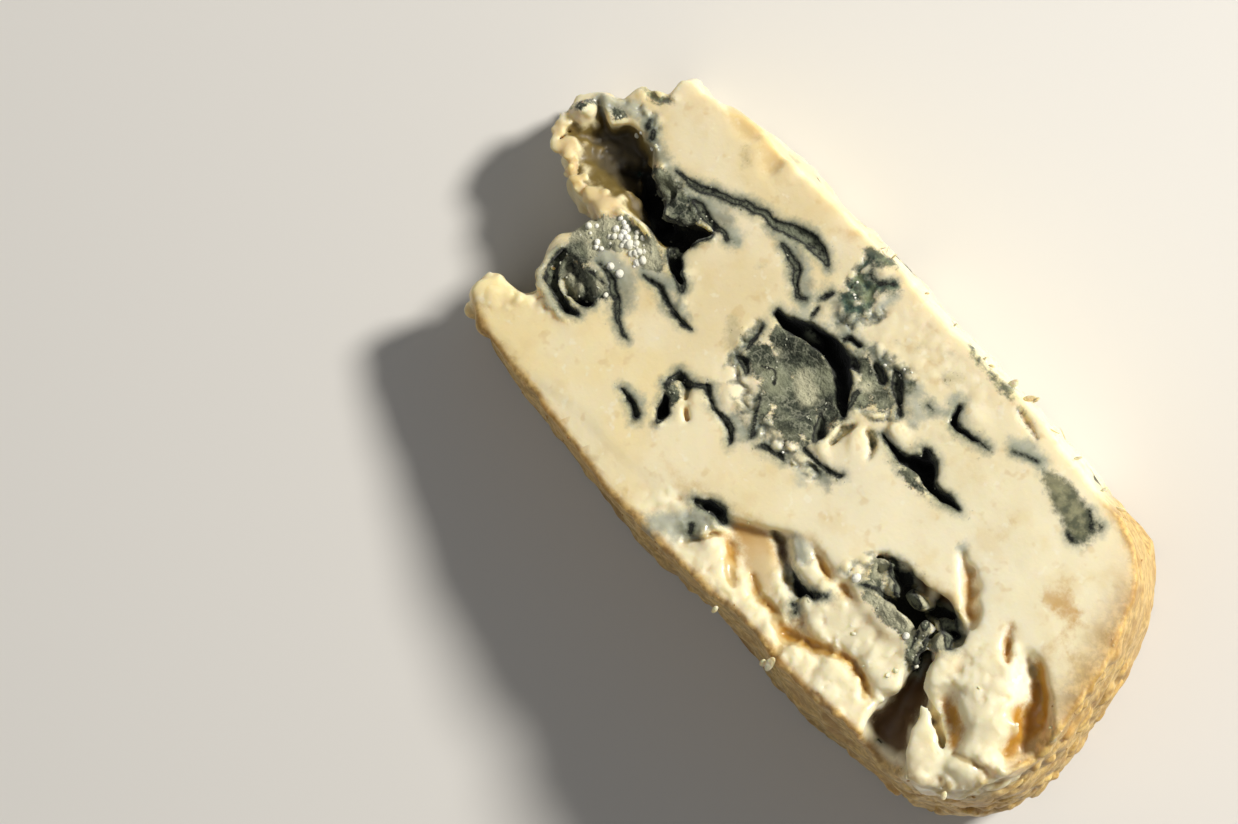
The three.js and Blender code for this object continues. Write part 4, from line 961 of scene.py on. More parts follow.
HAZE = [
    [(-40, -8, 0.3), (-39.4, -10.6, 0.4), (-37.6, -12.3, 0.4), (-35.2, -12.9, 0.4), (-32.8, -13, 0.3)],
    [(-41, 11.6, 0.8), (-38.6, 10.8, 0.9), (-36, 9.8, 0.7), (-33.4, 9.6, 0.9), (-30, 10.6, 1.3),
     (-27, 11.2, 1.2), (-25, 10.6, 1), (-23.6, 9.8, 0.6)],
    [(-22.6, 14.4, 0.5), (-20, 14.8, 0.8), (-17.4, 14.8, 0.6)],
    [(-16.4, 14.6, 0.5), (-14.4, 12.8, 0.6), (-12.6, 11.4, 0.8)], [(-12, 10.2, 0.9), (-10.8, 9.6, 0.6)],
    [(-7.6, 12.6, 0.9), (-6.2, 12.6, 1.1), (-5.4, 11.4, 0.7)], [(-8.6, 14.2, 1.2), (-6, 14, 1)],
    [(-5.2, 16, 0.6), (-4.6, 18.8, 0.6)], [(9, 13, 0.6), (10.4, 13.6, 0.9), (11.6, 14.8, 0.7)],
    [(10.4, 15.6, 0.7)], [(9.2, 10.8, 0.5), (9.8, 12, 0.5)],
    [(4.4, 12.4, 0.8), (6, 12.6, 1.1), (7.2, 11.6, 0.7), (8.6, 11, 0.7), (9.6, 9.6, 0.5)],
    [(4.6, -2.8, 0.7), (6.2, -2.7, 0.9), (7.6, -2.6, 0.5)], [(3.8, -4.6, 0.5), (4.6, -5.4, 0.4)],
    [(-26.2, -0.6, 0.5)], [(-23.4, -1, 0.7), (-21.6, -1.4, 0.5)],
    [(-28.6, -6.4, 0.6), (-27.4, -7.2, 0.5)], [(-4.2, -3, 0.6), (-5, -6.2, 0.6), (-6.8, -5.8, 0.6)],
    [(19, 16.6, 0.5), (20.8, 17.4, 1.2), (22.4, 17.6, 1), (24.2, 17.2, 0.7)], [(34.2, 15, 0.5)],
    [(-36.2, -4, 1.4), (-33.8, -3.6, 1.7), (-31.4, -3.4, 1.4), (-27.4, -5.8, 0.7)],
    [(-30, -1.2, 1), (-27.8, -0.2, 1), (-25.6, 0.6, 0.9)], [(-1.4, 12.6, 0.7), (0.4, 13.2, 0.6)],
    [(12.6, 6, 0.5), (13, 5, 0.6)], [(-19.6, -12.6, 0.4), (-17, -13, 0.5)], [(-16.2, -9.2, 0.9)],
    [(24.8, 3.6, 0.7)], [(49.4, -4.6, 0.5)],
    [(-3.8, -22.2, 1.3), (-2, -20.4, 1.7), (-1, -18.4, 1.9), (-0.6, -16.8, 1.5)],
    [(9.6, -11, 0.6), (11.4, -11.6, 0.8)], [(-34.6, -3.4, 0.7), (-32.4, -3.2, 0.8)],
    [(-50.8, 9.9, 1), (-48.2, 10.8, 1.4), (-46.4, 12, 1.2), (-44.4, 12.4, 1.1), (-42.6, 12.6, 0.9)],
]
MOSS = [
    [(25.2, 16.9, 0.9), (26.6, 16.8, 1.5), (28.6, 16.5, 1.8), (32.6, 15.6, 1.9), (33.2, 15, 1.4)],
    [(5, 12.9, 0.5), (5.6, 12.2, 0.5)], [(3.6, 1.8, 0.3), (3.7, 3.4, 0.5), (4.2, 4.6, 0.3)],
    [(6.9, 5, 0.4), (8, 4.2, 0.6), (8.5, 3.2, 0.3)],
]
OLIVE = [
    [(-16.4, 2.6, 0.8), (-14.8, 2, 1.2), (-14.6, 0.6, 0.8)], [(-19.4, 9.9, 0.4)], [(-14.2, 10, 0.5)],
    [(-11.4, -4.2, 0.4)], [(8, 17, 0.9), (8.6, 18, 0.4)], [(3.8, 14.4, 0.4)], [(-4, 16, 0.4)],
    [(7.8, 4.4, 0.5)], [(14.4, 12.2, 0.3)], [(2.4, 16.8, 0.3)], [(5.8, 18.6, 0.25)], [(0.2, 15.8, 0.25)],
    [(-30.2, 17.6, 0.7), (-31.6, 18.6, 0.6)], [(-0.4, -12.4, 0.4)], [(8, -3.6, 0.6)],
    [(15.6, 4.2, 0.4), (17, 4.6, 0.3)],
]
# warm patches: tan mottling of the paste near the rim, painted shade along grooves, creases, ledges and
# shaded flanks, and a painted glow on the nose's thin wall
WARM_TINT_AND_SHADE = [
    [(40.2, 2.6, 0.4), (41.8, 0.6, 1.1), (43.4, -1.2, 1.6), (45.2, -3.6, 1.8), (46.8, -6, 1.8),
     (47.4, -8.4, 1.2)], [(35.4, 1.2, 0.3), (36.8, -0.4, 0.5), (38, -1.8, 0.4)],
    [(36.6, -10.8, 0.5), (38.6, -11.6, 0.9), (41, -13.4, 0.8)],
    [(10.4, -9.4, 0.4), (12.6, -9.8, 0.6), (14.8, -10.6, 0.6), (16.2, -11.2, 0.4)],
    [(34.4, -6.4, 0.3), (35.2, -7.6, 0.4)],
    [(-10.2, -15.8, 0.4), (-6.4, -15.6, 0.6), (-3.6, -14.6, 0.5), (0.6, -13.6, 0.4), (4.6, -12.2, 0.5)],
    [(2.6, -14.6, 1), (5.4, -14.6, 1.9), (9.2, -16.2, 1.7), (11.6, -17, 0.9)],
    [(2.8, -16.8, 0.5), (4.4, -17.6, 0.8), (6, -18.6, 0.9), (7.6, -19.8, 0.6)],
    [(9.4, -17.2, 0.4), (10.8, -18.2, 0.6)],
    [(12.4, -18.4, 0.6), (15.2, -18.6, 0.7), (17.4, -19.2, 1.1), (20, -18.6, 0.9), (22.4, -17, 0.8),
     (25.4, -15.9, 0.7), (28.2, -16.3, 0.7), (30.2, -17.2, 0.6)],
    [(17.8, -20.6, 0.7), (18.2, -22.8, 0.6)], [(18.6, -11.6, 0.6), (20.4, -10.6, 0.6)],
    [(-36.5, 21.2, 1.2), (-33.2, 21, 1.2)], [(-31, 21.2, 0.9), (-28.2, 20.2, 1.3)], [(-25.2, 19.6, 0.7)],
    [(-51, 3.6, 1.6), (-48, 2.4, 2), (-44.5, 1.8, 2.2), (-41, 1, 2), (-38.6, 1.4, 1.2)],
    [(-39, -12.2, 0.7), (-36.4, -12.9, 0.6), (-33.4, -12.8, 0.5), (-31.2, -12.2, 0.4)], [(5, 13.9, 0.4)],
    [(5.4, 17.2, 0.5)], [(1.6, 16, 0.4)], [(-3.8, 17.9, 0.5)], [(7.2, 15.4, 0.4)],
    [(36, 7.2, 1), (38.4, 7.8, 1.2), (40.4, 7.4, 0.8)], [(36.2, 10, 0.7)], [(41, 5.2, 0.7)],
    [(44, 8.6, 0.8)], [(44, 4.4, 1), (46.2, 3.4, 1.2), (48.4, 3.6, 1)],
    [(43.4, -5.4, 1), (45.6, -7, 1.6), (47, -9, 1.3)],
    [(45.6, -12.4, 0.4), (46.4, -15, 0.5), (46.6, -17.4, 0.6)],
    [(48.4, -10.6, 0.5), (49, -12.8, 0.5), (50, -15, 0.6)], [(43, -18.4, 0.4), (44.8, -17.6, 0.4)],
    [(27.8, 1.8, 0.5), (30, 0.2, 0.8), (31.6, -1, 0.8)],
    [(22, -2.6, 0.5), (25, -1.8, 0.9), (28.4, -1.2, 0.9), (31.4, -2.4, 0.7)],
    [(5.6, -17.2, 0.4), (6.4, -18.4, 0.6), (7, -19.4, 0.4)],
    [(11.4, -9.7, 0.4), (13.4, -10, 0.5), (15.6, -10.4, 0.5)], [(17.6, -10.8, 0.5), (19.2, -9.8, 0.5)],
    [(16, -17.2, 0.5), (20, -17.4, 0.5), (24.2, -16.1, 0.4), (28, -15.9, 0.4)],
    [(-6.4, -16.4, 0.5), (-4.6, -15.8, 0.6)], [(26.6, 8, 0.5), (26.4, 10.6, 0.4)], [(22.4, 11.8, 0.4)],
    [(-13.6, 21, 0.6), (-15.6, 20, 0.7)],
]
# painted shade: the trench, the big pocket's wall and the deepest creases, where light does not reach
DEEP_SHADE = [
    [(32.2, -9.4, 0.9), (33.2, -12, 1.5), (34, -15.4, 2), (35.2, -18.8, 2.9), (36.4, -21.8, 3.3),
     (37.4, -24.8, 3.4)], [(35.8, -13.8, 0.6), (37.4, -13.4, 0.5)],
    [(22.8, -2.8, 0.5), (26, -2.2, 0.8), (29, -2.2, 0.9), (31.6, -3.6, 0.9), (32.6, -6, 0.8),
     (32.4, -8.4, 0.8)], [(6.6, -11.8, 0.3), (8, -12.6, 0.6), (9.6, -13.4, 0.6), (11.6, -14, 0.3)],
    [(13, -14.4, 0.4), (15.4, -14.6, 0.5)], [(42.6, -17.6, 0.3), (43.6, -18.2, 0.3)],
]
PALE = [
    [(-5.4, 4, 0.9), (-4.2, 3.2, 1.3), (-3.2, 2.4, 1.2)], [(-9.4, 3.8, 0.4)], [(1.4, 9.3, 0.8)],
    [(-40.4, -4.6, 1.2), (-38.8, -2, 1.4), (-37.4, 0, 1.2)], [(-37.6, -3.2, 1.2), (-35.4, -4.4, 1)],
    [(-33.4, 5.8, 0.7)], [(-31.6, 1.2, 1.3), (-29.8, 0.8, 1.1)],
    [(-35.6, -0.6, 1.2), (-33.4, -0.2, 1.2), (-31.4, -0.8, 0.9)], [(-36.4, -8.4, 0.7)],
    [(-32.2, -6.6, 0.8)], [(-34.6, -8.4, 0.8)],
    [(22, -9.4, 0.9), (24, -8.6, 1.2), (26.4, -8.4, 1.1), (27.8, -8.2, 0.8)], [(21.9, -5.9, 0.7)],
    [(25.8, -3.8, 1)], [(28.7, -6.9, 0.9)], [(30.3, -8.2, 0.7)], [(31.3, -6.3, 0.9)],
    [(18.8, -4.9, 0.6), (19.8, -6, 0.6)],
]
print("other chains:", *(len(chains) for chains in (VELVET, TEAL, HAZE, OLIVE, WARM_TINT_AND_SHADE, PALE)))

# %% [markdown]
# ## Thinning the mesh
# Smooth paste, the flat underside and the long walls need far fewer faces than
# curds and mould edges do. A vertex group tells Blender's Decimate where it may
# thin: on the walls, and where the face is nearly flat and no painted edge of
# mould is near.

# %% The body's mesh, thinned where it is plain
TRIANGLE_LIMIT = 188000

land = survey(points)
EDGE_ROOM, FLAT_RANGE = 1.1, 0.045
edges = [np.abs(paint_distance(chains, land)) for chains in (DARK, VELVET, TEAL, PALE)]
quiet = (np.min(edges, axis=0) > EDGE_ROOM) & (np.abs(land["near"] - 0.5) < FLAT_RANGE)
side = (land["under"] > 9) & (land["wall"] > -1.5) & (points[:, 0] < 44)
plain = quiet | side | (points[:, 2] < 0.05)
body = mesh_piece("wedge_body", points * MM, quads)
thin = body.vertex_groups.new(name="plain")
thin.add(np.flatnonzero(plain).tolist(), 1.0, "REPLACE")
decimate = body.modifiers.new("thin", "DECIMATE")
decimate.vertex_group = "plain"
decimate.ratio = min(TRIANGLE_LIMIT / (2 * len(quads)), 1.0)
finished(body)
body.vertex_groups.clear()
triangles = sum(len(face.vertices) - 2 for face in body.data.polygons)
print("triangles before:", 2 * len(quads), "after:", triangles)

# %% Where the rind and the torn paste lie
spots = np.empty(len(body.data.vertices) * 3, np.float32)
body.data.vertices.foreach_get("co", spots)
spots = spots.reshape(-1, 3) / MM
land = survey(spots)
px, py, under, wall_gap = spots[:, 0], spots[:, 1], land["under"], land["wall"]
hidden = smooth_step(5, 7, under) * (wall_gap > -1.6) + (spots[:, 2] < 0.6)
rim_rind = smooth_step(33, 40, px + 0.25 * np.abs(py - 2))
side_rind = smooth_step(-16.5, -18.5, py) * smooth_step(-44, -40, px)
low_rim = smooth_step(38, 42, px) * smooth_step(-8, -12, py) * smooth_step(12, 5, under)
rind_place = np.clip(rim_rind + side_rind, 0, 1) * (1 - 0.75 * low_rim)
uneven_gap = wall_gap + 0.9 * read_grid(MIDDLE, spots) + 0.6 * read_grid(BROAD, spots)
tanned = smooth_step(-7.5, -0.4, uneven_gap)
tanned = tanned * smooth_step(38, 46, px + 0.1 * np.abs(py)) * (1 - low_rim)
torn_here = np.interp(px, ledge_line[:, 0], ledge_line[:, 1])
torn_share = (1 - smooth_step(torn_here - LEDGE_WIDTH, torn_here, py)) * smooth_step(-9, -6, px)
in_bowl = smooth_step(0.5, -0.3, ring_distance(BOWL_RING, land["x"], land["y"]))
print("share of the vertices with rind:", round(float((rind_place > 0.5).mean()), 2))

# %% Writing the numbers to the vertices
CONTRAST = 2.4                  # creases and hollows run from -1 to 1
rind = np.maximum(rind_place * smooth_step(-1.3, -0.35, wall_gap), 0.75 * tanned)
PAINT = {
    name: paint_distance(chains, land)
    for name, chains in dict(dark=DARK, velvet=VELVET, teal=TEAL, haze=HAZE, olive=OLIVE, warm=WARM_TINT_AND_SHADE,
                             moss=MOSS, pale=PALE, deep=DEEP_SHADE, open=OPEN).items()
}
# crease and hollow say how enclosed each vertex is; the finish uses them to paint shade into creases and
# hollows
PAINT.update(
    crease=np.clip((land["near"] - 0.5) * CONTRAST, -1, 1),
    hollow=np.clip((land["wide"] - 0.5) * CONTRAST, -1, 1),
    rind=rind * (spots[:, 2] > 0.05),
    torn=torn_share,
    hidden=np.minimum(hidden, 1),
    bowl=in_bowl * np.clip(under, 0, 9) * (wall_gap < -0.5),
    cell=curd_cells(land["x"], land["y"], CURD_SIZE, CURD_SEED)[0],
    seam=chain_distance(CREASES, land["x"], land["y"]),
)


def write_paint(piece, paint):
    for name, values in paint.items():
        column = piece.data.attributes.new(name, "FLOAT", "POINT")
        column.data.foreach_set("value", np.asarray(values, np.float32))


write_paint(body, PAINT)
body.data.shade_smooth()
print("painted:", ", ".join(PAINT))

# %% [markdown]
# ## Node maths as plain sums
# Nodes are easier to read as sums. `Reading` wraps a socket so that
# `1 - mask * 2` builds its Math nodes. `Board.node` makes any other node from
# its type, its settings and what goes into its sockets, and `Board.over` lays
# one tone after another over a colour.

# %% A small language for nodes
class Reading:
    def __init__(self, board, socket):
        self.board, self.socket = board, socket

    def __add__(self, other):
        return self.board.sum("ADD", self, other)

    def __sub__(self, other):
        return self.board.sum("SUBTRACT", self, other)

    def __rsub__(self, other):
        return self.board.sum("SUBTRACT", other, self)

    def __mul__(self, other):
        return self.board.sum("MULTIPLY", self, other)

    __radd__, __rmul__ = __add__, __mul__


def srgb(red, green, blue):
    """A colour given as it looks on a screen, 0 to 255, as light."""
    parts = (red / 255, green / 255, blue / 255)
    light = [c / 12.92 if c <= 0.04045 else ((c + 0.055) / 1.055) ** 2.4 for c in parts]
    return (*light, 1.0)


class Board:
    def __init__(self, tree):
        self.tree = tree

    def node(self, kind, settings=None, inputs=None, out=0):
        made = self.tree.nodes.new(kind)
        for key, value in (settings or {}).items():
            setattr(made, key, value)
        for key, value in (inputs or {}).items():
            if isinstance(value, Reading):
                self.tree.links.new(value.socket, made.inputs[key])
            else:
                made.inputs[key].default_value = value
        return Reading(self, made.outputs[out]) if made.outputs else made

    def sum(self, operation, *values, clamp=False):
        settings = {"operation": operation, "use_clamp": clamp}
        return self.node("ShaderNodeMath", settings, dict(enumerate(values)))

    def paint(self, name):
        return self.node("ShaderNodeAttribute", {"attribute_name": name}, out="Fac")

    def step(self, value, low, high):
        """0 below low and 1 above high, with a soft change between them."""
        if low > high:
            return 1 - self.step(value, high, low)
        inputs = {"Value": value, "From Min": low, "From Max": high}
        return self.node("ShaderNodeMapRange", {"interpolation_type": "SMOOTHSTEP"}, inputs)

    def blend(self, share, first, second):
        inputs = {"Factor": share, "A": first, "B": second}
        return self.node("ShaderNodeMix", {"data_type": "RGBA"}, inputs, out=2)

    def over(self, colour, *layers):
        """Lays tones over a colour one after another, each by its own share."""
        for share, tone in layers:
            colour = self.blend(share, colour, tone if isinstance(tone, Reading) else srgb(*tone))
        return colour

    def noise(self, size, detail=2.0, rough=0.5):
        """Noise whose features are about size millimetres wide."""
        inputs = {"Vector": self.place, "Scale": 1000 / size, "Detail": detail, "Roughness": rough}
        return self.node("ShaderNodeTexNoise", {}, inputs)

    def bump(self, strength, distance, height):
        inputs = {"Strength": strength, "Distance": distance, "Height": height}
        return self.node("ShaderNodeBump", {}, inputs)

    @property
    def place(self):
        return self.node("ShaderNodeTexCoord", {}, out="Object")


def blank_material(name):
    """A new material without nodes, and the board to put nodes on."""
    material = bpy.data.materials.new(name)
    material.use_nodes = True
    material.node_tree.nodes.clear()
    return material, Board(material.node_tree)


print("cream as light:", [round(c, 3) for c in srgb(236, 221, 182)[:3]])

# %% [markdown]
# ## The finish of the cheese
# Two shaders share the body. The paste is translucent fat and protein, so light
# goes in and comes out again a few millimetres away, warmer than it went in.
# The mould is a felt of dry threads: dull, with a faint sheen, and no light
# gets through. Masks made from the painted distances, frayed by noise, say
# what shows where.

# %% Noise and painted marks
CHEESE, board = blank_material("blue_cheese")
step, blend, over = board.step, board.blend, board.over
noise, paint = board.noise, board.paint


def mask_at(name, fray, inner, outer):
    """1 inside a painted patch and 0 outside, with an edge frayed by noise."""
    return step(paint(name) + fray, outer, inner)


def either(first, second, clamp=False):
    return board.sum("MAXIMUM", first, second, clamp=clamp)


coarse, mid, fine, grain = noise(14.0), noise(4.0, 3.0), noise(1.1, 3.0, 0.6), noise(0.34, 2.0, 0.6)
along = board.node("ShaderNodeSeparateXYZ", {}, {"Vector": board.place}, out="X")
across = board.node("ShaderNodeSeparateXYZ", {}, {"Vector": board.place}, out="Y")
fray = (fine - 0.5) * 1.5 + (grain - 0.5) * 0.7
rind, hollow, torn, bowl = paint("rind"), paint("hollow"), paint("torn"), paint("bowl")
# tight is high in creases and low on bumps; with hollow it drives the painted shade below
tight = paint("crease") + (fine - 0.5) * 0.2
sunk = bowl + (mid - 0.5) * 3.0 + (fine - 0.5) * 1.2
outside_bowl = 1 - step(bowl, 0.2, 1.0)
print("nodes for the marks:", len(board.tree.nodes))

# %% Paste: cream, whiter towards the rim, with painted amber-brown shade in creases and hollows
towards_rim = step(along, -0.045, 0.035)
on_heel = step(along, 0.032, 0.038)
buttery = step(across, 0.0, -0.014) * (1 - towards_rim)
# warm: partly a real tan tint, mostly painted shade, and a painted glow on the nose's thin wall
warm = mask_at("warm", fray, -0.9, 0.7)
# painted shade: warm patches turn deep amber-brown where they are hollow, most of all on the heel
golden_shade = warm * step(hollow + on_heel * 0.14, -0.05, 0.3) * (0.7 + on_heel * 0.25)
# painted shade along the creases between the torn strip's plates
seam_shade = step(paint("seam") + (fine - 0.5) * 0.5, 0.35, -0.1) * torn
# painted shade: dark brown at the bottom of the trench, on the pocket's wall and in deep creases
shaded = step(paint("deep") + fray * 0.7, 0.7, -0.7) * step(hollow, -0.1, 0.25)
speck = step(noise(0.8, 2.0, 0.7), 0.6, 0.7)
olive = mask_at("olive", fray, -0.8, 0.6) * (0.35 + speck * 0.6)
cream = over(
    blend(towards_rim, srgb(231, 214, 168), srgb(240, 230, 196)),
    (buttery * 0.7, (248, 230, 178)),
    (step(coarse, 0.42, 0.62) * 0.5, (243, 235, 208)),
    (step(mid, 0.5, 0.72) * 0.35, (226, 205, 152)),
    (step(noise(2.4, 2.0, 0.6), 0.6, 0.72) * 0.35, (214, 186, 128)),
    (step(noise(1.8, 2.0, 0.6), 0.62, 0.72) * 0.4, (248, 243, 222)),
    (torn * 0.5, (246, 236, 202)),
    # painted shade: creases and hollows darken to tan and olive-brown
    (step(tight, 0.12, 0.55) * 0.6, (200, 170, 98)),
    (step(hollow, 0.22, 0.7) * 0.8, (116, 102, 46)),
    (seam_shade * 0.7, (190, 164, 98)),
    # warm patches: tan tint and painted shade together
    (warm * 0.5, (206, 174, 106)),
    (golden_shade, (190, 134, 24)),
    (shaded * 0.95, (88, 58, 24)),
    (olive, (112, 102, 48)),
)
print("nodes with the paste:", len(board.tree.nodes))

# %% The broken nose, a pale amber slope that painted shade darkens as it goes down, and the rind
slope = over(
    # painted shade and light: the slope goes from cream to olive-brown and near black as it sinks, darker
    # in its creases and lighter on its convex bumps
    blend(step(sunk, 0.1, 1.3), srgb(236, 222, 174), srgb(116, 98, 46)),
    (step(tight, -0.02, -0.4) * step(sunk, 2.4, 0.4) * 0.7, (240, 230, 194)),
    (step(tight, 0.08, 0.5) * 0.5, (128, 100, 42)),
    (step(sunk, 1.4, 3.6) * (0.9 - step(tight, 0.0, -0.4) * 0.3), (72, 63, 42)),
    (step(sunk, 3.4, 7.4), (22, 19, 12)),
)
skin = over(
    blend(step(fine, 0.35, 0.65), srgb(170, 134, 70), srgb(216, 182, 112)),
    (step(mid, 0.48, 0.7) * 0.7, (160, 118, 56)),
    (step(coarse, 0.55, 0.68) * 0.4, (196, 150, 76)),
)
rind_share = board.sum("MULTIPLY", rind, 0.95, clamp=True)
cream = over(cream, (step(bowl, 0.15, 0.8), slope), (rind_share, skin))
print("nodes with nose and rind:", len(board.tree.nodes))

# %% Blue-grey haze around the mould, where threads run inside the paste
smoke = step(mid, 0.3, 0.6)
haze = mask_at("haze", fray, -0.8, 0.9)
near_dark = step(paint("dark") + fray * 0.9, 1.5, -0.1) * (0.3 + smoke * 0.55) * outside_bowl
close = step(paint("dark") + fray * 0.5, 0.5, -0.1) * outside_bowl * (1 - rind * 0.7)
moss_tone = over(
    blend(step(mid * 0.5 + fine * 0.5, 0.38, 0.6), srgb(70, 76, 52), srgb(150, 148, 112)),
    (step(paint("moss") + fray * 0.7, -1.3, -0.2) * 0.55, (62, 68, 46)),
)
opened = step(paint("open") + fray * 0.6, 0.5, -0.4)
threads_in = step(paint("cell") + (fine - 0.5) * 0.9, 0.5, 0.0) * opened

# on the plain walls and below, islands of mould are left to noise
plain_side = paint("hidden") * (1 - board.sum("MULTIPLY", rind, 1.0, clamp=True))
island = noise(9.0, 4.0, 0.6) + (fine - 0.5) * 0.03
side_vein = step(island, 0.615, 0.64) * step(noise(5.0), 0.4, 0.5) * plain_side
side_soft = step(island, 0.55, 0.62) * plain_side
base = over(
    cream,
    (haze * 0.75, blend(smoke, srgb(104, 112, 100), srgb(170, 176, 162))),
    (side_soft * 0.5, (150, 152, 126)),
    (near_dark, (138, 144, 126)),
    (mask_at("moss", fray, -0.7, 0.5) * 0.92, moss_tone),
    (close * 0.8, (60, 64, 50)),
    (threads_in * 0.7, blend(step(fine, 0.4, 0.6), srgb(78, 86, 70), srgb(138, 144, 126))),
)
print("nodes with the haze:", len(board.tree.nodes))

# %% Where mould covers the paste
velvet = mask_at("velvet", fray * 1.3 + (mid - 0.5) * 1.6, -0.4, 0.25)
bare_curd = step(paint("cell"), 0.3, 0.5) * step(mid, 0.36, 0.54) * 0.9
teal = mask_at("teal", fray * 1.3, -0.6, 0.5) * (1 - bare_curd)
vein = paint("dark") + fray * 0.45
speckle = step(noise(0.9, 2.0, 0.7), 0.66, 0.74) * step(paint("dark"), 2.2, 0.3) * 0.5
# the deepest part of the nose's bowl is painted soot-dark: mould together with painted shade
deep_bowl_shade = step(sunk, 6.0, 8.2) * step(bowl, 0.5, 1.0)
dark = either(either(step(vein, 0.18, -0.14), side_vein), either(speckle, deep_bowl_shade), clamp=True)
dark = dark * (1 - rind * 0.7)
mould = either(either(velvet, teal * 0.85), dark, clamp=True)
print("nodes with the masks:", len(board.tree.nodes))

# %% The mould's colours: felt in the open, soot where it is thick, and painted shade in hollows
threads = step(board.sum("ABSOLUTE", noise(2.2, 3.0, 0.6) - 0.5), 0.05, 0.0)
green = over(
    blend(step(fine, 0.42, 0.66), srgb(18, 52, 44), srgb(84, 110, 84)),
    (step(mid, 0.54, 0.66) * 0.5, (134, 142, 98)),
)
# in hollows the grey core is left out, so the soot there is painted shade as well as mould
core = step(vein, -0.08, -0.5) * (1 - step(hollow, 0.2, 0.5))
soot = blend(core * step(fine, 0.34, 0.56), srgb(17, 19, 14), srgb(108, 112, 92))
felt = over(
    blend(step(noise(3.0, 4.0, 0.7), 0.42, 0.6), srgb(40, 46, 34), srgb(112, 116, 94)),
    (step(noise(6.0, 2.0), 0.5, 0.64) * 0.3, (146, 146, 116)),
    (step(grain, 0.4, 0.7) * 0.15, (160, 160, 136)),
    (threads * 0.35, (170, 170, 146)),
    (step(paint("velvet"), -0.9, -0.1) * 0.5, (56, 60, 46)),
    (mask_at("pale", fray, -0.6, 0.6) * 0.8, blend(grain, srgb(150, 148, 118), srgb(218, 213, 180))),
    # painted shade: the felt darkens in hollows
    (step(hollow, 0.35, 0.85) * 0.8, (40, 38, 26)),
    (teal, green),
    (dark, soot),
)
print("nodes with the felt:", len(board.tree.nodes))

# %% Paste and mould together
paste_height = mid * 0.5 + fine * 0.14 + grain * 0.03 + rind * fine * 0.55
wetness = step(noise(2.6, 3.0), 0.42, 0.66) * (1 - either(rind * 0.7, shaded))
wetness = wetness * (0.3 + either(torn, haze * 0.4) * 0.6) * (1 - step(bowl, 0.2, 0.8) * 0.7)
paste_shader = board.node("ShaderNodeBsdfPrincipled", {}, {
    "Base Color": base, "Roughness": 0.56 - wetness * 0.3,
    "Normal": board.bump(0.45, 0.0005, paste_height),
    "Subsurface Weight": 0.9, "Subsurface Radius": (1.0, 0.86, 0.46), "Subsurface Scale": 0.0020,
    "Specular IOR Level": 0.42, "Coat Weight": wetness * 0.7, "Coat Roughness": 0.18,
})
mould_shader = board.node("ShaderNodeBsdfPrincipled", {}, {
    "Base Color": felt, "Roughness": 0.9, "Normal": board.bump(0.8, 0.0005, grain * 0.5 + fine),
    "Specular IOR Level": 0.25, "Sheen Weight": 0.1, "Sheen Roughness": 0.6,
})
both = board.node("ShaderNodeMixShader", {}, {0: mould, 1: paste_shader, 2: mould_shader})
board.node("ShaderNodeOutputMaterial", {}, {"Surface": both})
body.data.materials.clear()
body.data.materials.append(CHEESE)
print("nodes in the cheese finish:", len(CHEESE.node_tree.nodes))

# %% Materials of the small pieces
def plain_finish(name, low, high, grain_size, roughness, glow, sheen):
    """A finish whose colour wanders between two tones."""
    material, board = blank_material(name)
    colour = board.blend(board.step(board.noise(grain_size, 2.0), 0.35, 0.65), srgb(*low), srgb(*high))
    surface = board.node("ShaderNodeBsdfPrincipled", {}, {
        "Base Color": colour, "Roughness": roughness,
        "Normal": board.bump(0.5, 0.0003, board.noise(0.3, 2.0)),
        "Subsurface Weight": glow, "Subsurface Radius": (1.0, 0.55, 0.25), "Subsurface Scale": 0.0012,
        "Specular IOR Level": 0.35, "Sheen Weight": sheen, "Sheen Roughness": 0.6,
    })
    board.node("ShaderNodeOutputMaterial", {}, {"Surface": surface})
    return material


# two tones, width of the patches in mm, roughness, light let in, and sheen
GRANULE = plain_finish("mould_granule", (118, 120, 98), (196, 196, 174), 1.6, 0.9, 0.0, 0.2)
CRUMB = plain_finish("curd_crumb", (224, 200, 148), (242, 231, 198), 3.0, 0.6, 0.5, 0.0)
RIND_CRUMB = plain_finish("rind_crumb", (176, 134, 82), (214, 180, 128), 2.0, 0.7, 0.2, 0.0)
PEARL = plain_finish("mould_pearl", (222, 220, 202), (240, 238, 226), 2.0, 0.85, 0.0, 0.1)
print("small finishes:", GRANULE.name, CRUMB.name, RIND_CRUMB.name, PEARL.name)

# %% [markdown]
# ## Small things on the surface
# Mould carries tiny pale balls of spores, torn curd sheds crumbs, and the rind
# sheds tan grit. Where each grain lies doesn't matter, so a Geometry Nodes tree
# strews points over the faces where a painted density allows it and puts a
# small lumpy ball on each one.

# %% A scattering tree
def add_socket(tree, name, kind, value=None, into="INPUT"):
    socket = tree.interface.new_socket(name, in_out=into, socket_type=kind)
    if value is not None:
        socket.default_value = value
    return socket.identifier


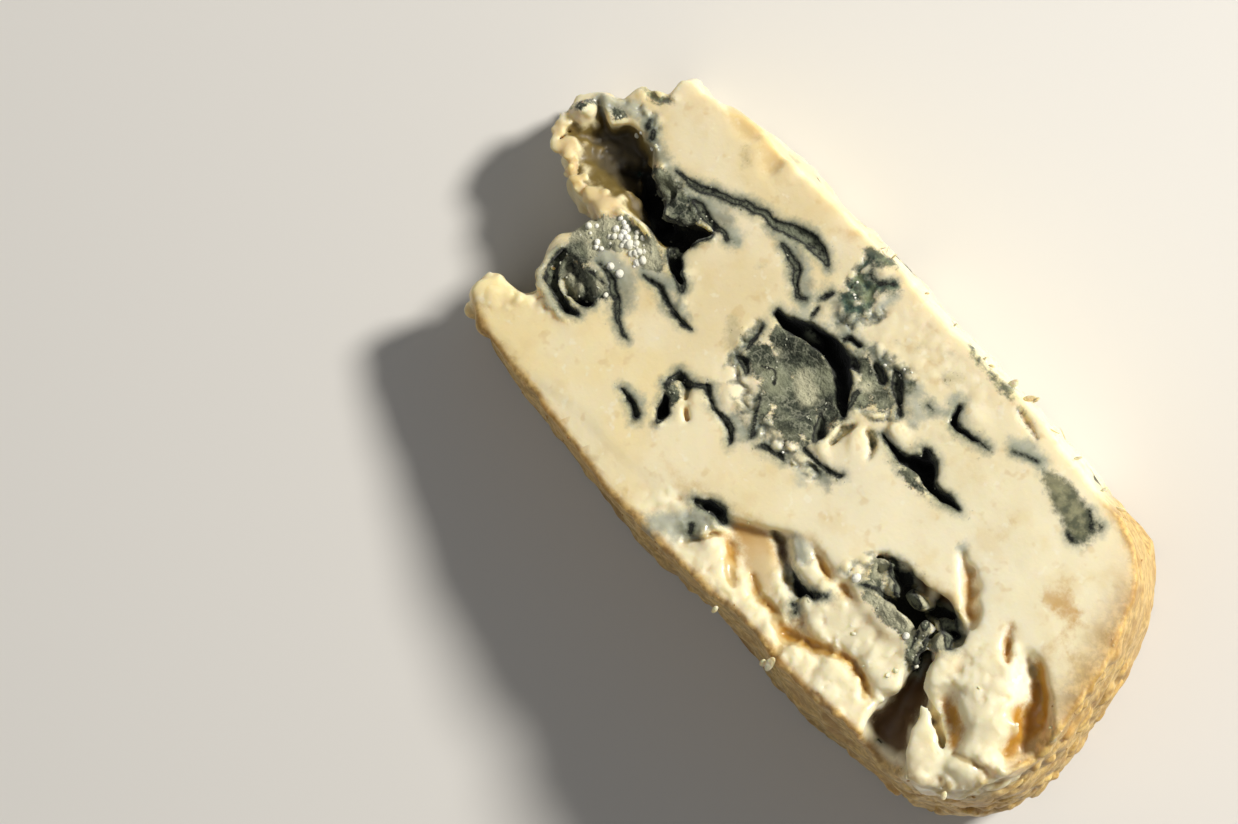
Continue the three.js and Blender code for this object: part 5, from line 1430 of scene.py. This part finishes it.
def scatter_tree(name, material):
    tree = bpy.data.node_groups.new(name, "GeometryNodeTree")
    add_socket(tree, "Geometry", "NodeSocketGeometry")
    keys = {
        "density": add_socket(tree, "Points per square metre", "NodeSocketFloat", 1e6),
        "small": add_socket(tree, "Smallest half size", "NodeSocketVector"),
        "large": add_socket(tree, "Largest half size", "NodeSocketVector"),
        "seed": add_socket(tree, "Seed", "NodeSocketInt", 1),
    }
    add_socket(tree, "Geometry", "NodeSocketGeometry", into="OUTPUT")
    made = Board(tree).node

    def given(label):
        return made("NodeGroupInput", {}, {}, out=label)

    share = made("GeometryNodeInputNamedAttribute", {}, {"Name": "strew"}, out="Attribute")
    density = share * given("Points per square metre")
    points = made("GeometryNodeDistributePointsOnFaces", {}, {
        "Mesh": given("Geometry"), "Density": density, "Seed": given("Seed"),
    }, out="Points")
    ball = made("GeometryNodeMeshIcoSphere", {}, {"Radius": 1.0, "Subdivisions": 2}, out="Mesh")
    push = made("ShaderNodeTexNoise", {}, {"Scale": 1.3}, out="Color")
    push = made("ShaderNodeVectorMath", {"operation": "SUBTRACT"}, {0: push, 1: (0.5, 0.5, 0.5)})
    lump = made("GeometryNodeSetPosition", {}, {"Geometry": ball, "Offset": push})
    vector = {"data_type": "FLOAT_VECTOR"}
    size = made("FunctionNodeRandomValue", vector, {
        "Min": given("Smallest half size"), "Max": given("Largest half size"), "Seed": given("Seed"),
    }, out="Value")
    turn = made("FunctionNodeRandomValue", vector, {"Max": (6.28, 6.28, 6.28)}, out="Value")
    strewn = made("GeometryNodeInstanceOnPoints", {}, {
        "Points": points, "Instance": lump, "Scale": size, "Rotation": turn,
    })
    real = made("GeometryNodeRealizeInstances", {}, {"Geometry": strewn})
    finish = made("GeometryNodeSetMaterial", {}, {"Geometry": real, "Material": material})
    made("NodeGroupOutput", {}, {"Geometry": finish})
    return tree, keys


PIECES = [body]


def strew(name, share, material, per_square_mm, small, large, seed):
    """One piece of many lumps, thickest where share is 1. Half sizes are in millimetres."""
    ground = bpy.data.objects.new(name, body.data.copy())
    bpy.context.scene.collection.objects.link(ground)
    write_paint(ground, {"strew": np.clip(share, 0, 1)})
    tree, keys = scatter_tree(name + "_tree", material)
    modifier = ground.modifiers.new("strew", "NODES")
    modifier.node_group = tree
    modifier[keys["density"]] = per_square_mm * 1e6
    modifier[keys["small"]] = [s * MM for s in small]
    modifier[keys["large"]] = [s * MM for s in large]
    modifier[keys["seed"]] = seed
    finished(ground)
    ground.data.shade_smooth()
    PIECES.append(ground)
    print(name, "triangles:", len(ground.data.polygons))
    return ground


# %% Granules, crumbs and grit
near_face = (under < 9) & (wall_gap < 0.6)
patchy = np.clip(read_grid(FINE, spots) * 0.5 + 0.35, 0, 1)
velvet_here = smooth_step(0.3, -0.5, PAINT["velvet"])
pocket_here = smooth_step(0.5, -0.4, PAINT["dark"]) * 0.35
granule_share = near_face * np.maximum(velvet_here, pocket_here) * patchy
strew("mould_granules", granule_share, GRANULE,
      per_square_mm=0.45, small=(0.09, 0.09, 0.07), large=(0.24, 0.22, 0.20), seed=5)
clear_of_mould = smooth_step(0.3, 1.2, np.minimum(PAINT["velvet"], PAINT["dark"]))
crumb_share = near_face * clear_of_mould * (0.01 + torn_share * 0.5) * (1 - PAINT["rind"]) * patchy
strew("curd_crumbs", crumb_share, CRUMB,
      per_square_mm=0.06, small=(0.16, 0.14, 0.10), large=(0.46, 0.40, 0.28), seed=8)
strew("rind_crumbs", PAINT["rind"] * patchy * (under < 14), RIND_CRUMB,
      per_square_mm=0.07, small=(0.10, 0.10, 0.06), large=(0.34, 0.30, 0.16), seed=11)

# %% [markdown]
# ## Pearls of mould and flakes on the edge
# In the open nose the mould has drawn itself into white pearls the size of pin
# heads, and the knife left thin flakes along the sharp edge. We list the ones
# that catch the eye, draw the smaller pearls at random near chains, look up how
# high the carved surface is there, and join stretched balls into one mesh.

# %% Balls on the surface
def unit_ball(level):
    made = bmesh.new()
    bmesh.ops.create_icosphere(made, subdivisions=level, radius=1.0)
    corners = np.array([v.co[:] for v in made.verts])
    faces = np.array([[v.index for v in f.verts] for f in made.faces])
    made.free()
    return corners, faces


def top_of(x, y):
    """Height of the carved surface at a place, in millimetres."""
    i, j = round((x - AXES[0][0]) / STEP), round((y - AXES[1][0]) / STEP)
    column = np.flatnonzero(BODY[i, j] < 0)
    return AXES[2][column[-1]] if len(column) else 0.0


def ball_piece(name, balls, lumpiness, material, level=3):
    """One mesh of many balls: place, half sizes and turn of each, in millimetres."""
    corners, faces = unit_ball(level)
    rng = np.random.default_rng(len(balls))
    vertices, polygons = [], []
    for centre, half, turn in balls:
        wave = rng.normal(0, 1, (3, 3))
        ripple = np.sin(corners @ wave * 2.0 + wave[0]).mean(axis=1, keepdims=True)
        shape = corners * (1 + lumpiness * ripple)
        spin = np.array(Euler(turn).to_matrix())
        polygons.append(faces + len(corners) * len(vertices))
        vertices.append((shape * half) @ spin.T + centre)
    piece = mesh_piece(name, np.concatenate(vertices) * MM, np.concatenate(polygons))
    piece.data.materials.append(material)
    piece.data.shade_smooth()
    PIECES.append(piece)
    print(name, "balls:", len(balls), "triangles:", len(piece.data.polygons))


# %% The pearls
PEARLS = [
    (-36.2, -0.1, 0.5), (-35.6, -0.9, 0.45), (-36, -1.4, 0.4), (-35.3, 0.3, 0.4), (-35.4, 1, 0.45),
    (-34.9, -0.3, 0.5), (-34.3, 0.2, 0.45), (-33.4, -0.2, 0.65), (-32.3, -0.9, 0.5), (-31.8, 0, 0.5),
    (-30.9, -1.1, 0.6), (-30.6, -0.4, 0.55), (-33.9, 1.6, 0.4), (-32.8, 1.6, 0.4), (-38.2, -1.6, 0.42),
    (-39, -2.4, 0.5), (-36.6, -3, 0.45), (-36.2, -3.6, 0.4), (-35.6, -3.2, 0.35), (-30.6, -6.9, 0.38),
    (-34, -1, 0.4), (-32.9, 0.6, 0.35), (-31.2, 0.5, 0.35), (-33, -3.9, 0.55), (-31.4, -3.7, 0.6),
    (18.2, -8.4, 0.6), (-44, 10.4, 0.4), (-43.6, 11, 0.32), (-41, 10.6, 0.35), (31.2, -10.4, 0.3),
    (27.6, -8.8, 0.45),
]
PEARL_CHAINS = [
    OPEN[2], OPEN[0], OPEN[3], OPEN_CLEAN[0], [(-40.4, -5, 1.2), (-38.2, -1, 1.4), (-31, 0.8, 1.4)],
]
PEARLS_PER_CHAIN, FLAP_PEARLS = 6, 26
FLAP_MIDDLE, FLAP_REACH = (-34.0, -0.1), (2.9, -0.5)

rng = np.random.default_rng(40)
for chain in PEARL_CHAINS:
    for _ in range(PEARLS_PER_CHAIN):
        a, b = np.array(chain)[rng.integers(0, len(chain) - 1) + np.arange(2)]
        x, y = (a + (b - a) * rng.uniform())[:2]
        PEARLS.append((x + rng.normal(0, 0.7), y + rng.normal(0, 0.7), rng.uniform(0.10, 0.22)))
for _ in range(FLAP_PEARLS):
    t = rng.uniform(-1, 1)
    x, y = (middle + reach * t for middle, reach in zip(FLAP_MIDDLE, FLAP_REACH))
    PEARLS.append((x + rng.normal(0, 0.5), y + rng.normal(0, 0.7), rng.uniform(0.22, 0.46)))
balls = []
for x, y, r in PEARLS:
    half = np.array([r, r, r]) * rng.uniform(0.85, 1.1, 3)
    balls.append((np.array([x, y, top_of(x, y) + 0.25 * r]), half, rng.uniform(0, 6, 3)))
ball_piece("mould_pearls", balls, 0.10, PEARL)

# %% The flakes along the sharp edge
# x, y, half length, half width, and how far it is turned and tipped, in degrees
FLAKES = [
    (-10.2, 22.6, 0.5, 0.1, 60, 20), (-9.6, 22.9, 0.4, 0.1, 110, 10), (-8.4, 22.8, 0.5, 0.12, 80, 30),
    (9.2, 21.6, 0.7, 0.22, 100, 20), (10.4, 21.9, 0.4, 0.2, 40, 10), (13.9, 22.2, 0.9, 0.4, 75, 30),
    (16.6, 22.4, 0.9, 0.35, 40, 20), (17.3, 22.8, 0.5, 0.2, 80, 20), (21.4, 21.6, 1.1, 0.08, 20, 10),
    (22.6, 22.2, 0.9, 0.07, -20, 15), (26, 21.4, 0.5, 0.2, 60, 10), (31, 21, 0.5, 0.18, 70, 10),
    (34.2, 20.8, 0.6, 0.22, 30, 10), (-2, 22.6, 0.3, 0.15, 50, 10), (3.4, 22.3, 0.35, 0.15, 80, 10),
    (18.6, -23.4, 1, 0.55, -80, -30), (18, -24, 0.6, 0.4, -60, -40), (9, -23.8, 0.6, 0.3, -90, -20),
    (44.8, -18.6, 0.6, 0.3, -60, -10),
]


def edge_top(x, y):
    """Height of the highest carved point near a place that may lie just outside the wedge."""
    return max(top_of(x + dx, y + dy) for dx in (-0.6, 0, 0.6) for dy in (-1.6, -0.8, 0, 0.8, 1.6))


THICKEST_FLAKE = 0.16
FLAKE_SINK = 0.5
flakes = []
for x, y, long, wide, turn, tip in FLAKES:
    half = np.array([long, wide, min(wide, THICKEST_FLAKE)])
    spin = (0.0, -math.radians(tip), math.radians(turn))
    flakes.append((np.array([x, y, edge_top(x, y) - FLAKE_SINK]), half, spin))
ball_piece("edge_flakes", flakes, 0.45, CRUMB)

# %% Declaring the pieces
for piece in PIECES:
    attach(piece, "root")
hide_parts(NODE)
print("pieces:", ", ".join(piece.name for piece in PIECES))

# %% [markdown]
# ## Floor, light and camera
# The wedge lies on a plain pale floor. One warm lamp stands off to the side,
# small enough that every curd and crack throws a clear shade. A wide weak lamp
# and the room's faint light keep the shades from going black.

# %% Floor
def quad_piece(name, half, z, material):
    corners = [(-half, -half, z), (half, -half, z), (half, half, z), (-half, half, z)]
    piece = mesh_piece(name, np.array(corners), np.array([[0, 1, 2, 3]]))
    piece.data.materials.append(material)
    return piece


FLOOR_HALF, FLOOR_LEVEL = 1.6, -0.0002          # in metres, just under the wedge
PALE_FLOOR, floor_board = blank_material("pale_floor")
floor_finish = {"Base Color": srgb(214, 211, 205), "Roughness": 0.7}
surface = floor_board.node("ShaderNodeBsdfPrincipled", {}, floor_finish)
floor_board.node("ShaderNodeOutputMaterial", {}, {"Surface": surface})
floor = quad_piece("floor", FLOOR_HALF, FLOOR_LEVEL, PALE_FLOOR)
print("floor:", floor.name)

# %% Camera, looking down on the shown face
TILT, TURN = math.radians(6.0), math.radians(47.1)
CAMERA_PLACE = Vector((32.98, -15.87, 507.42)) * MM
FOCUS_PIXELS, PICTURE_WIDTH, SENSOR = 3840, 1238, 36.0


def tilted(x, y, z):
    return Vector((x * math.cos(TILT) + z * math.sin(TILT), y, z * math.cos(TILT) - x * math.sin(TILT)))


RIGHT = tilted(math.cos(TURN), math.sin(TURN), 0)
UP = tilted(-math.sin(TURN), math.cos(TURN), 0)
BACK = tilted(0, 0, 1)
camera_data = bpy.data.cameras.new("camera")
camera_data.sensor_width = SENSOR
camera_data.lens = SENSOR * FOCUS_PIXELS / PICTURE_WIDTH
camera = bpy.data.objects.new("camera", camera_data)
camera.matrix_world = Matrix.Translation(CAMERA_PLACE) @ Matrix((RIGHT, UP, BACK)).transposed().to_4x4()
bpy.context.scene.collection.objects.link(camera)
bpy.context.scene.camera = camera
print("lens:", round(camera_data.lens, 1), "mm")

# %% Lights
def soft_light(name, towards, distance, size, power, colour):
    """An area light aimed at the wedge, from right, up and back as the camera sees them."""
    right, up, back = towards
    direction = (RIGHT * right + UP * up + BACK * back).normalized()
    data = bpy.data.lights.new(name, "AREA")
    data.shape, data.size, data.energy, data.color = "DISK", size, power, colour
    lamp = bpy.data.objects.new(name, data)
    aim = Vector((0, 0, 0.02))
    lamp.location = aim + direction * distance
    lamp.rotation_euler = direction.to_track_quat("Z", "Y").to_euler()
    bpy.context.scene.collection.objects.link(lamp)
    return lamp


soft_light("key", (0.8, 0.46, 0.86), distance=0.9, size=0.18, power=11.5, colour=(1.0, 0.97, 0.92))
soft_light("fill", (-0.8, -0.5, 1.2), distance=1.2, size=0.9, power=1.7, colour=(0.97, 0.98, 1.0))

world = bpy.data.worlds.new("room")
world.use_nodes = True
room = world.node_tree.nodes["Background"].inputs
room["Color"].default_value, room["Strength"].default_value = (0.95, 0.97, 1.0, 1.0), 0.14
bpy.context.scene.world = world
bpy.context.scene.view_settings.view_transform = "Standard"
print("lamps:", *(lamp.name for lamp in bpy.data.lights))
